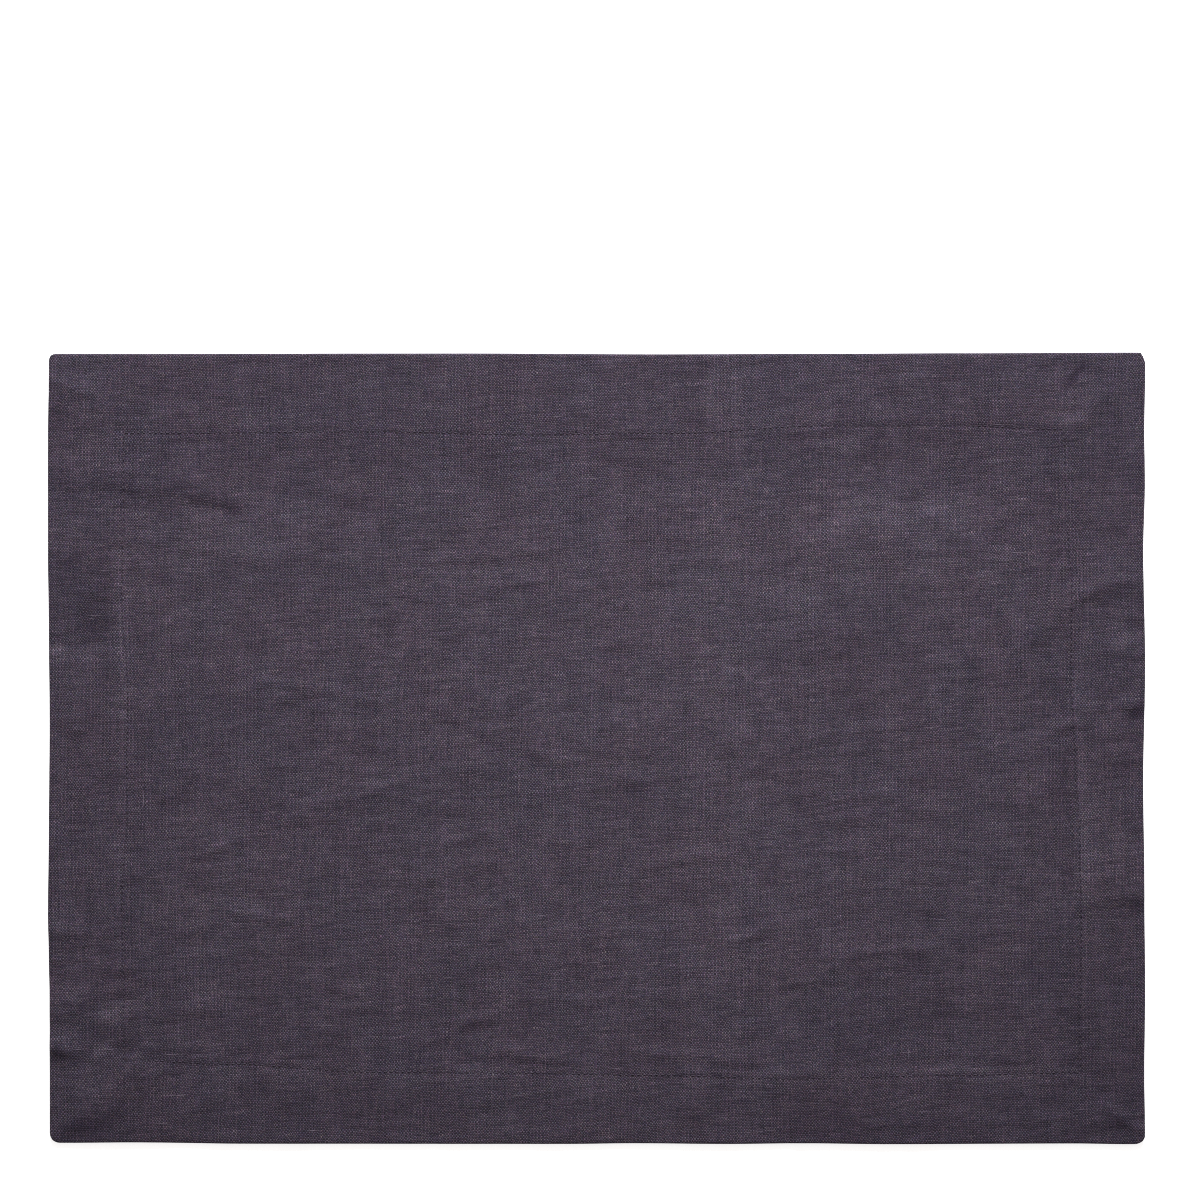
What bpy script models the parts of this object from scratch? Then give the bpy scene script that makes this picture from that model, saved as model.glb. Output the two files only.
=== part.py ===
"""A hemmed linen placemat, lying flat, as one closed solid.

Units are metres and +Z is up. The origin is the middle of the mat's box on the
surface that it lies on. The long side runs along X, and the far side is at +Y.
The four sides are turned to the back as one wide hem, so the rim is thicker than
the panel. On the back the turned-in cloth ends in a step just inside the hem line.
"""

from typing import NamedTuple

import bpy
import numpy as np

# Size of the finished mat
LENGTH = 0.500
WIDTH = 0.360

# Thickness: one layer in the panel, the turned layers in the hem
PANEL_THICKNESS = 0.0012
HEM_THICKNESS = 0.0018

# The hem: its usual depth from the folded edge to the line of stitches, and how
# far the turned cloth reaches past that line on the back
HEM_DEPTH = 0.0370
HEM_TUCK = 0.0020

# The face dips at the stitches, then settles from the hem to the panel
GROOVE_DEPTH = 0.0003
GROOVE_WIDTH = 0.0007
SETTLE_REACH = 0.0150

# Spacing of the surface's lines: over the cloth, beside the stitches, at the corners
CELL = 0.0078
GROOVE_CELL = 0.0012
CORNER_LINES = (0.0023, 0.0046)
RIM_STEP = np.radians(45)

# Broad, low unevenness of cloth that has been washed and laid out
WAVE_HEIGHT = 0.00008
WAVE_LENGTHS = (0.170, 0.105, 0.061)
WAVE_HEADINGS = (1.1, 1.9, 2.7)

FABRIC_COLOUR = (0.067, 0.054, 0.073, 1.0)
FABRIC_ROUGHNESS = 0.92
FABRIC_METALLIC = 0.0


class Corner(NamedTuple):
    """One rounded corner: its reach along X and Y, and how full its curve is.

    A fullness of 2 is a round corner, and 1 is a straight slanting cut.
    """

    side_x: int
    side_y: int
    reach_x: float
    reach_y: float
    fullness: float


class Place(NamedTuple):
    """A value at one place along a side, measured from the side's middle."""

    along: float
    value: float


class Side(NamedTuple):
    """How far one side bows out, and how deep its hem is, along its length."""

    bow: tuple
    hem: tuple


class Crease(NamedTuple):
    """A soft ridge (height above 0) or trough (below 0).

    It runs through (x, y) at an angle in degrees from X, bows sideways at its middle
    by bow, and fades at half_length. Its two flanks have their own widths.
    """

    x: float
    y: float
    angle: float
    half_length: float
    bow: float
    far_width: float
    near_width: float
    height: float


CORNERS = (
    Corner(-1, +1, 0.0030, 0.0030, 2.0),
    Corner(+1, +1, 0.0022, 0.0046, 1.2),
    Corner(-1, -1, 0.0045, 0.0045, 2.0),
    Corner(+1, -1, 0.0046, 0.0036, 1.8),
)

LEFT_SIDE = Side(
    bow=(
        Place(-0.170, -0.0008),
        Place(-0.118, -0.0008),
        Place(-0.098, -0.0004),
        Place(-0.075, 0.0),
        Place(-0.038, -0.0004),
        Place(0.012, -0.0008),
        Place(0.053, -0.0004),
        Place(0.090, 0.0),
        Place(0.145, 0.0),
        Place(0.170, -0.0004),
    ),
    hem=(
        Place(-0.143, 0.0415),
        Place(-0.090, 0.0400),
        Place(-0.020, 0.0380),
        Place(0.050, 0.0375),
        Place(0.142, 0.0372),
    ),
)
RIGHT_SIDE = Side(
    bow=(
        Place(-0.170, -0.0001),
        Place(-0.148, -0.0004),
        Place(-0.105, 0.0),
        Place(-0.061, -0.0004),
        Place(-0.016, -0.0009),
        Place(0.038, 0.0),
        Place(0.089, -0.0009),
        Place(0.121, -0.0001),
        Place(0.144, -0.0004),
        Place(0.170, 0.0),
    ),
    hem=(
        Place(-0.134, 0.0336),
        Place(-0.055, 0.0302),
        Place(0.006, 0.0334),
        Place(0.067, 0.0349),
        Place(0.143, 0.0413),
    ),
)
NEAR_SIDE = Side(
    bow=(
        Place(-0.240, -0.0002),
        Place(-0.212, -0.0007),
        Place(-0.158, 0.0),
        Place(-0.015, 0.0),
        Place(0.018, -0.0003),
        Place(0.058, 0.0),
        Place(0.092, -0.0003),
        Place(0.130, 0.0),
        Place(0.212, -0.0003),
        Place(0.240, 0.0),
    ),
    hem=(
        Place(-0.195, 0.0388),
        Place(0.000, 0.0342),
        Place(0.064, 0.0324),
        Place(0.216, 0.0342),
    ),
)
FAR_SIDE = Side(
    bow=(
        Place(-0.060, -0.0004),
        Place(0.028, -0.0008),
        Place(0.110, -0.0004),
        Place(0.171, -0.0001),
        Place(0.240, 0.0),
    ),
    hem=(
        Place(-0.213, 0.0383),
        Place(-0.030, 0.0397),
        Place(0.060, 0.0370),
        Place(0.208, 0.0372),
    ),
)

CREASES = (
    # Left hem: the fold that starts at the edge, the hollow under it, the edge puckers
    Crease(-0.2060, 0.1205, -8, 0.046, 0.0035, 0.0080, 0.0050, 0.0008),
    Crease(-0.2350, 0.0470, 4, 0.014, 0.0, 0.0220, 0.0050, -0.0004),
    Crease(-0.2410, -0.0950, -2, 0.013, 0.0, 0.0070, 0.0055, 0.0007),
    Crease(-0.2390, -0.1170, 4, 0.014, 0.0, 0.0065, 0.0060, 0.0009),
    Crease(-0.2200, -0.1280, 3, 0.010, 0.0, 0.0060, 0.0060, 0.0006),
    Crease(-0.2400, -0.1362, -3, 0.013, 0.0, 0.0060, 0.0055, 0.0009),
    Crease(-0.2380, 0.1650, -12, 0.012, 0.0, 0.0060, 0.0055, 0.0006),
    # Right hem: the slanting fold, the pinch at the edge, the long swell that ends in a step
    Crease(0.2270, 0.0690, 24, 0.024, 0.0020, 0.0080, 0.0050, 0.0009),
    Crease(0.2400, 0.0190, 3, 0.012, 0.0, 0.0060, 0.0060, -0.0004),
    Crease(0.2360, -0.0660, 2, 0.016, 0.0, 0.0400, 0.0055, 0.0010),
    Crease(0.2350, -0.1700, -25, 0.014, 0.0, 0.0060, 0.0055, 0.0006),
    # Corner folds, along the mitres
    Crease(0.2250, 0.1550, 42, 0.026, 0.0, 0.0070, 0.0060, 0.0006),
    Crease(-0.2250, -0.1580, 43, 0.024, 0.0, 0.0060, 0.0060, 0.0005),
    # Panel, far half: the rise at the right, the two dips beside it, the long line at the left
    Crease(0.1350, 0.0860, -8, 0.040, 0.0060, 0.0150, 0.0110, 0.0011),
    Crease(0.0570, 0.0840, 0, 0.022, 0.0030, 0.0060, 0.0070, -0.0004),
    Crease(-0.0520, 0.0850, 5, 0.026, 0.0, 0.0060, 0.0070, -0.0004),
    Crease(-0.1400, 0.0870, -6, 0.044, 0.0030, 0.0140, 0.0090, 0.0007),
    Crease(-0.1400, 0.0580, 1, 0.046, 0.0, 0.0060, 0.0060, -0.0003),
    # Panel, middle: the three ridges of the long wave
    Crease(-0.0480, 0.0140, -27, 0.034, 0.0, 0.0065, 0.0060, 0.0007),
    Crease(0.0230, 0.0050, 19, 0.028, -0.0020, 0.0070, 0.0060, 0.0008),
    Crease(0.0620, 0.0020, -36, 0.022, 0.0, 0.0065, 0.0060, 0.0007),
    # Panel, near half: folds at the left, arcs below them, the slanting fold at the right
    Crease(-0.0960, -0.0250, 2, 0.036, 0.0020, 0.0070, 0.0055, 0.0007),
    Crease(-0.0690, -0.0100, 12, 0.026, 0.0, 0.0070, 0.0055, 0.0006),
    Crease(-0.1640, -0.0620, -10, 0.024, 0.0060, 0.0065, 0.0060, 0.0006),
    Crease(0.1230, -0.0990, 10, 0.038, 0.0, 0.0085, 0.0055, 0.0008),
)


def eased(along, places):
    """Values along a side, joined by a smooth step from each place to the next."""
    steps = np.interp(along, [p.along for p in places], np.arange(len(places)))
    first = np.minimum(steps.astype(int), len(places) - 2)
    part = steps - first
    part = part * part * (3 - 2 * part)
    values = np.array([p.value for p in places])
    return values[first] * (1 - part) + values[first + 1] * part


def lines_across(side_length):
    """Places of the surface's lines over one side, close at the rim and the hem line."""
    half = side_length / 2
    fold = HEM_THICKNESS / 2
    hem_start = HEM_DEPTH - GROOVE_CELL
    panel_start = HEM_DEPTH + SETTLE_REACH
    hem_cells = round((hem_start - CORNER_LINES[-1]) / CELL)
    panel_cells = round((half - panel_start) / CELL)
    inward = np.concatenate(
        [
            [0.0, fold * (1 - np.cos(RIM_STEP)), fold],
            [CORNER_LINES[0]],
            np.linspace(CORNER_LINES[-1], hem_start, hem_cells + 1),
            [HEM_DEPTH, HEM_DEPTH + GROOVE_CELL, HEM_DEPTH + HEM_TUCK],
            [HEM_DEPTH + SETTLE_REACH / 2],
            np.linspace(panel_start, half, panel_cells + 1),
        ]
    )
    return np.concatenate([inward - half, (half - inward)[-2::-1]])


def turn_corners(x, y):
    """Draws each square corner in to its own curve, on lines that stay joined."""
    for corner in CORNERS:
        start_x = LENGTH / 2 - corner.reach_x
        start_y = WIDTH / 2 - corner.reach_y
        a = np.clip((x * corner.side_x - start_x) / corner.reach_x, 0, 1)
        b = np.clip((y * corner.side_y - start_y) / corner.reach_y, 0, 1)
        power = corner.fullness
        less_x = a * ((1 - b**power / 2) ** (1 / power) - 1) * corner.reach_x
        less_y = b * ((1 - a**power / 2) ** (1 / power) - 1) * corner.reach_y
        x = x + corner.side_x * less_x
        y = y + corner.side_y * less_y
    return x, y


def side_shift(inward, along, side, half):
    """Outward move of the lines near one side, for its bow and its own hem depth."""
    rim_end = CORNER_LINES[-1]
    hem_start = HEM_DEPTH - GROOVE_CELL
    hem_end = HEM_DEPTH + SETTLE_REACH
    rim_share = np.interp(inward, [rim_end, hem_start], [1, 0])
    hem_share = np.interp(inward, [rim_end, hem_start, hem_end, half], [0, 1, 1, 0])
    bow = eased(along, side.bow)
    deeper = eased(along, side.hem) - HEM_DEPTH
    return rim_share * bow - hem_share * deeper


def place_lines(x, y):
    """Moves the even grid to the mat's real outline and its real hem lines."""
    half_x, half_y = LENGTH / 2, WIDTH / 2
    right = side_shift(half_x - x, y, RIGHT_SIDE, half_x) * (x > 0)
    left = side_shift(half_x + x, y, LEFT_SIDE, half_x) * (x < 0)
    far = side_shift(half_y - y, x, FAR_SIDE, half_y) * (y > 0)
    near = side_shift(half_y + y, x, NEAR_SIDE, half_y) * (y < 0)
    x, y = turn_corners(x, y)
    return x + right - left, y + far - near


def crease_height(x, y, crease):
    """Height of one crease: a bell across it, fading along it, on a bowed line."""
    turn = np.radians(crease.angle)
    along = (x - crease.x) * np.cos(turn) + (y - crease.y) * np.sin(turn)
    across = (y - crease.y) * np.cos(turn) - (x - crease.x) * np.sin(turn)
    share = along / crease.half_length
    across = across - crease.bow * (1 - share**2)
    width = np.where(across > 0, crease.far_width, crease.near_width)
    return crease.height * np.exp(-((across / width) ** 2) - share**4)


def relief(x, y):
    """All creases, over a broad unevenness made of a few crossing waves."""
    heights = sum(crease_height(x, y, crease) for crease in CREASES)
    for length, heading in zip(WAVE_LENGTHS, WAVE_HEADINGS):
        turns = (x * np.cos(heading) + y * np.sin(heading)) / length
        heights = heights + WAVE_HEIGHT * (1 + np.sin(2 * np.pi * turns + heading))
    return heights


def build_cloth(name):
    """One closed mesh: the face, the rounded rim that it shares, and the back."""
    grid_x, grid_y = np.meshgrid(lines_across(LENGTH), lines_across(WIDTH))
    x, y = place_lines(grid_x, grid_y)
    inward = np.minimum(LENGTH / 2 - abs(grid_x), WIDTH / 2 - abs(grid_y))

    # The rim is half a circle in section
    fold = HEM_THICKNESS / 2
    past_rim = np.clip(1 - inward / fold, 0, 1)
    half_height = fold * np.sqrt(1 - past_rim**2)

    # The face falls softly from the hem to the panel, with a groove at the stitches
    settled = np.clip((inward - HEM_DEPTH) / SETTLE_REACH, 0, 1)
    settled = settled**2 * (3 - 2 * settled)
    step = HEM_THICKNESS - PANEL_THICKNESS
    groove = GROOVE_DEPTH * np.exp(-(((inward - HEM_DEPTH) / GROOVE_WIDTH) ** 2))
    uneven = relief(x, y) * half_height / fold
    face = fold + half_height - step * settled - groove + uneven

    # The back lies flat, lifted only where the panel leaves the turned-in cloth
    past_stitches = inward - HEM_DEPTH - GROOVE_CELL
    tuck_end = np.clip(past_stitches / (HEM_TUCK - GROOVE_CELL), 0, 1)
    back = fold - half_height + step * (1 - settled) * tuck_end

    rows, columns = x.shape
    face_ids = np.arange(rows * columns).reshape(rows, columns)
    inner = (slice(1, -1), slice(1, -1))
    back_ids = face_ids.copy()
    back_ids[inner] = rows * columns + np.arange((rows - 2) * (columns - 2)).reshape(
        rows - 2, columns - 2
    )
    points = np.concatenate(
        [
            np.stack([x, y, face], axis=-1).reshape(-1, 3),
            np.stack([x[inner], y[inner], back[inner]], axis=-1).reshape(-1, 3),
        ]
    )
    mesh = bpy.data.meshes.new(name)
    faces = quads(face_ids) + [quad[::-1] for quad in quads(back_ids)]
    mesh.from_pydata(points.tolist(), [], faces)
    mesh.shade_smooth()
    cloth = bpy.data.objects.new(name, mesh)
    bpy.context.scene.collection.objects.link(cloth)
    return cloth


def quads(ids):
    """The faces between the neighbouring lines of a grid of point numbers."""
    corners = [ids[:-1, :-1], ids[:-1, 1:], ids[1:, 1:], ids[1:, :-1]]
    return np.stack(corners, axis=-1).reshape(-1, 4).tolist()


def fabric_material():
    """Dark aubergine-grey linen, matt."""
    material = bpy.data.materials.new("dark_linen")
    material.use_nodes = True
    shader = material.node_tree.nodes["Principled BSDF"]
    shader.inputs["Base Color"].default_value = FABRIC_COLOUR
    shader.inputs["Roughness"].default_value = FABRIC_ROUGHNESS
    shader.inputs["Metallic"].default_value = FABRIC_METALLIC
    return material


def clear_scene():
    """Removes whatever the open file holds."""
    for thing in list(bpy.data.objects):
        bpy.data.objects.remove(thing, do_unlink=True)


def main():
    clear_scene()
    cloth = build_cloth("placemat_cloth")
    cloth.data.materials.append(fabric_material())


main()
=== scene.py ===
"""A hemmed linen placemat, laid flat: its cloth, weave, creases and sewing.

Units are metres and +Z is up. The origin is the middle of the mat on the surface
that it lies on, the long side runs along X, and the far side is at +Y, as in the
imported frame. One sheet of cloth makes the whole mat: its margins are turned to the
back, tucked under once more and sewn down, so the hem is three layers thick.

A place on the mat is given in two ways. Its plain place is on a true rectangle,
with every hem equally deep. Its real place has the bowed sides, the rounded corners
and the hem lines of the sewn mat.
"""

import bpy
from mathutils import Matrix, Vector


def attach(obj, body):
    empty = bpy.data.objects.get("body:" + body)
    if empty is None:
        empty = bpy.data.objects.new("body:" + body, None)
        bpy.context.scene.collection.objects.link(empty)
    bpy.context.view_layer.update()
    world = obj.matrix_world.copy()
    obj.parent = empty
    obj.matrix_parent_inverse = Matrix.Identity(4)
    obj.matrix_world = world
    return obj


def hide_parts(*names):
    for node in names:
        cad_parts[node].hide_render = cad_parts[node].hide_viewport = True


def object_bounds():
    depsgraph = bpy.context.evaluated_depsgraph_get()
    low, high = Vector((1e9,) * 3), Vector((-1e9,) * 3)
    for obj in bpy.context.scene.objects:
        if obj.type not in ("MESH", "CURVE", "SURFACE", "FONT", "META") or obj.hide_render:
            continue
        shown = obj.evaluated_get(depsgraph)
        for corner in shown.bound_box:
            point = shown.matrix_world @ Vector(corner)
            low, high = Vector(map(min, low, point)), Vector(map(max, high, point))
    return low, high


bl_info = {
    "name": "Linen Placemat",
    "version": (1, 0, 0),
    "blender": (4, 5, 0),
    "location": "View3D > Sidebar > Placemat",
    "description": "A washed linen placemat with its weave, creases, hem and stitches",
    "category": "Add Mesh",
}

from functools import reduce
from typing import NamedTuple

import bpy
import numpy as np
from bpy.props import FloatProperty, FloatVectorProperty, IntProperty, PointerProperty
from bpy.types import Operator, Panel, PropertyGroup

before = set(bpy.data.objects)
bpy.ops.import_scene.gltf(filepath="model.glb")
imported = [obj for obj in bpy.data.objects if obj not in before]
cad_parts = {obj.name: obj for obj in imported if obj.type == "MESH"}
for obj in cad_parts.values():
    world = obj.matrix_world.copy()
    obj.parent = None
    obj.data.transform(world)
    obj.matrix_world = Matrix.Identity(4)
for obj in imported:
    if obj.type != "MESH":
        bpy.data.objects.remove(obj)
CAD_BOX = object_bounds()
CAD_NODE = "placemat_cloth"
CAD_SIZE = CAD_BOX[1] - CAD_BOX[0]
WEAVE_MAP = "weave"


class Corner(NamedTuple):
    """One rounded corner: its reach along X and Y, and how full its curve is.

    A fullness of 2 is a round corner, and 1 is a straight slanting cut.
    """

    side_x: int
    side_y: int
    reach_x: float
    reach_y: float
    fullness: float


class Place(NamedTuple):
    """A value at one place along a side, measured from the side's middle."""

    along: float
    value: float


def places(*rows):
    """A table of places along a side, from its (along, value) rows."""
    return tuple(Place(*row) for row in rows)


class Side(NamedTuple):
    """What changes along one side, as places joined smoothly.

    bow is how far the edge bows out, hem the depth of the stitches, and bite how deep their
    groove is and how strong the painted shade in their needle holes is. edge is how strong
    the painted shade is on the panel beside the tucked edge, and the last column how strong
    the painted light strip is on the hem beside the stitches.
    """

    bow: tuple
    hem: tuple
    bite: tuple
    edge: tuple
    strip: tuple


class Crease(NamedTuple):
    """A soft ridge (height above 0) or trough (below 0).

    It runs through (x, y) at an angle in degrees from X, bows sideways at its middle
    by bow, and fades at half_length. Its two flanks have their own widths.
    """

    x: float
    y: float
    angle: float
    half_length: float
    bow: float
    far_width: float
    near_width: float
    height: float


class Crumple(NamedTuple):
    """One size of random wrinkle: its cell, its stretch along X, its turn and height."""

    cell: float
    stretch: float
    turn: float
    height: float
    seed: int


class PaintedPatch(NamedTuple):
    """A soft patch of painted light (change above 0) or painted shade (below 0)."""

    x: float
    y: float
    half_x: float
    half_y: float
    angle: float
    change: float


CORNERS = (
    Corner(-1, +1, 0.0030, 0.0030, 2.0),
    Corner(+1, +1, 0.0022, 0.0046, 1.2),
    Corner(-1, -1, 0.0045, 0.0045, 2.0),
    Corner(+1, -1, 0.0046, 0.0036, 1.8),
)

LEFT_SIDE = Side(
    bow=places(
        (-0.170, -0.0008), (-0.118, -0.0008), (-0.098, -0.0004), (-0.075, 0.0),
        (-0.038, -0.0004), (0.012, -0.0008), (0.053, -0.0004), (0.090, 0.0), (0.145, 0.0),
        (0.170, -0.0004),
    ),
    hem=places(
        (-0.117, 0.0348), (-0.074, 0.0337), (-0.024, 0.0362), (0.027, 0.0362),
        (0.072, 0.0337), (0.116, 0.0346),
    ),
    bite=places(
        (-0.117, 0.60), (-0.074, 1.00), (-0.024, 0.65), (0.072, 0.65), (0.116, 0.70),
    ),
    edge=places(
        (-0.117, 0.70), (-0.074, 1.00), (-0.024, 0.80), (0.072, 0.50), (0.116, 1.10),
    ),
    strip=places(
        (-0.117, 0.02), (-0.074, 0.05), (-0.024, 0.08), (0.027, 0.04), (0.120, 0.00),
    ),
)
RIGHT_SIDE = Side(
    bow=places(
        (-0.170, -0.0001), (-0.148, -0.0004), (-0.105, 0.0), (-0.061, -0.0004),
        (-0.016, -0.0009), (0.038, 0.0), (0.089, -0.0009), (0.121, -0.0001),
        (0.144, -0.0004), (0.170, 0.0),
    ),
    hem=places(
        (-0.120, 0.0298), (-0.078, 0.0291), (-0.042, 0.0300), (-0.005, 0.0321),
        (0.031, 0.0337), (0.072, 0.0337), (0.116, 0.0364), (0.143, 0.0372),
    ),
    bite=places(
        (-0.120, 0.80), (-0.078, 1.00), (-0.005, 0.75), (0.072, 0.85), (0.116, 0.55),
    ),
    edge=places(
        (-0.120, 0.50), (-0.078, 1.20), (-0.005, 1.10), (0.072, 0.70), (0.116, 1.00),
    ),
    strip=places(
        (-0.120, 0.08), (-0.075, 0.14), (-0.055, 0.22), (-0.020, 0.20), (0.031, 0.12),
        (0.072, 0.04), (0.116, 0.05),
    ),
)
NEAR_SIDE = Side(
    bow=places(
        (-0.240, -0.0002), (-0.212, -0.0004), (-0.158, 0.0002), (-0.015, 0.0003),
        (0.018, 0.0), (0.058, 0.0003), (0.092, 0.0), (0.130, 0.0004), (0.212, 0.0001),
        (0.240, 0.0004),
    ),
    hem=places(
        (-0.210, 0.0380), (-0.170, 0.0365), (-0.101, 0.0328), (-0.042, 0.0324),
        (0.020, 0.0314), (0.088, 0.0298), (0.157, 0.0312), (0.212, 0.0325),
    ),
    bite=places(
        (-0.170, 0.60), (-0.101, 0.60), (-0.042, 0.80), (0.020, 0.50), (0.157, 0.60),
    ),
    edge=places(
        (-0.170, 0.20), (-0.067, 0.80), (0.020, 0.60), (0.088, 0.20), (0.157, 0.00),
    ),
    strip=places(
        (-0.170, 0.04), (-0.101, 0.04), (-0.042, 0.10), (0.020, 0.05), (0.157, 0.06),
    ),
)
FAR_SIDE = Side(
    bow=places(
        (-0.230, -0.0002), (-0.060, 0.0), (0.028, -0.0004), (0.110, -0.0001),
        (0.171, 0.0001), (0.240, 0.0004),
    ),
    hem=places(
        (-0.200, 0.0362), (-0.101, 0.0355), (-0.033, 0.0369), (0.038, 0.0362),
        (0.106, 0.0328), (0.170, 0.0328), (0.207, 0.0345),
    ),
    bite=places(
        (-0.170, 0.30), (-0.101, 0.45), (-0.033, 0.65), (0.038, 0.40), (0.106, 0.60),
        (0.170, 0.80),
    ),
    edge=places(
        (-0.170, 0.30), (-0.101, 0.40), (0.010, 0.20), (0.080, 1.10), (0.150, 1.20),
        (0.195, 0.60),
    ),
    strip=places(
        (-0.170, 0.00), (0.170, 0.02),
    ),
)

CREASES = (
    # Left hem: the fold that starts at the edge, the hollow under it, the edge puckers
    Crease(-0.2060, 0.1205, -8, 0.046, 0.0035, 0.0080, 0.0050, 0.0008),
    Crease(-0.2350, 0.0470, 4, 0.014, 0.0, 0.0220, 0.0040, -0.0005),
    Crease(-0.2430, -0.0835, -8, 0.013, 0.0, 0.0060, 0.0050, 0.0005),
    Crease(-0.2420, -0.1180, 4, 0.011, 0.0, 0.0070, 0.0070, 0.0011),
    Crease(-0.2190, -0.1260, 3, 0.010, 0.0, 0.0075, 0.0085, 0.0009),
    Crease(-0.2430, -0.1362, -3, 0.010, 0.0, 0.0050, 0.0050, 0.0010),
    Crease(-0.2380, 0.1650, -12, 0.012, 0.0, 0.0060, 0.0055, 0.0006),
    # Right hem: the slanting fold, the pinch at the edge, the swell that ends in a step
    Crease(0.2270, 0.0690, 24, 0.024, 0.0020, 0.0160, 0.0050, 0.0006),
    Crease(0.2400, 0.0190, 3, 0.012, 0.0, 0.0060, 0.0060, -0.0004),
    Crease(0.2360, -0.0660, 2, 0.016, 0.0, 0.0400, 0.0055, 0.0010),
    Crease(0.2350, -0.1700, -25, 0.014, 0.0, 0.0060, 0.0055, 0.0006),
    # Corner folds, along the mitres
    Crease(0.2250, 0.1550, 42, 0.026, 0.0, 0.0070, 0.0060, 0.0006),
    Crease(-0.2250, -0.1580, 43, 0.024, 0.0, 0.0060, 0.0060, 0.0005),
    # Panel, far half: the rise at the right, the dips beside it, the long line at the left
    Crease(0.1350, 0.0860, -8, 0.040, 0.0060, 0.0150, 0.0110, 0.0011),
    Crease(0.0570, 0.0840, 0, 0.022, 0.0030, 0.0060, 0.0070, -0.0004),
    Crease(-0.0520, 0.0850, 5, 0.026, 0.0, 0.0060, 0.0070, -0.0004),
    Crease(-0.1400, 0.0870, -6, 0.044, 0.0030, 0.0140, 0.0090, 0.0007),
    Crease(-0.1400, 0.0580, 1, 0.046, 0.0, 0.0060, 0.0060, -0.0003),
    # Panel, middle: the three ridges of the long wave
    Crease(-0.0480, 0.0140, -27, 0.034, 0.0, 0.0085, 0.0075, 0.0004),
    Crease(0.0230, 0.0050, 19, 0.028, -0.0020, 0.0090, 0.0080, 0.0004),
    Crease(0.0620, 0.0020, -36, 0.022, 0.0, 0.0085, 0.0080, 0.0004),
    # Panel, near half: folds at the left, arcs below them, the slanting fold at the right
    Crease(-0.0960, -0.0250, 2, 0.036, 0.0020, 0.0095, 0.0080, 0.0003),
    Crease(-0.0690, -0.0100, 12, 0.026, 0.0, 0.0095, 0.0080, 0.0003),
    Crease(-0.1640, -0.0620, -10, 0.024, 0.0060, 0.0080, 0.0070, 0.0004),
    Crease(0.1230, -0.0990, 10, 0.038, 0.0, 0.0110, 0.0075, 0.0005),
)

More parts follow.
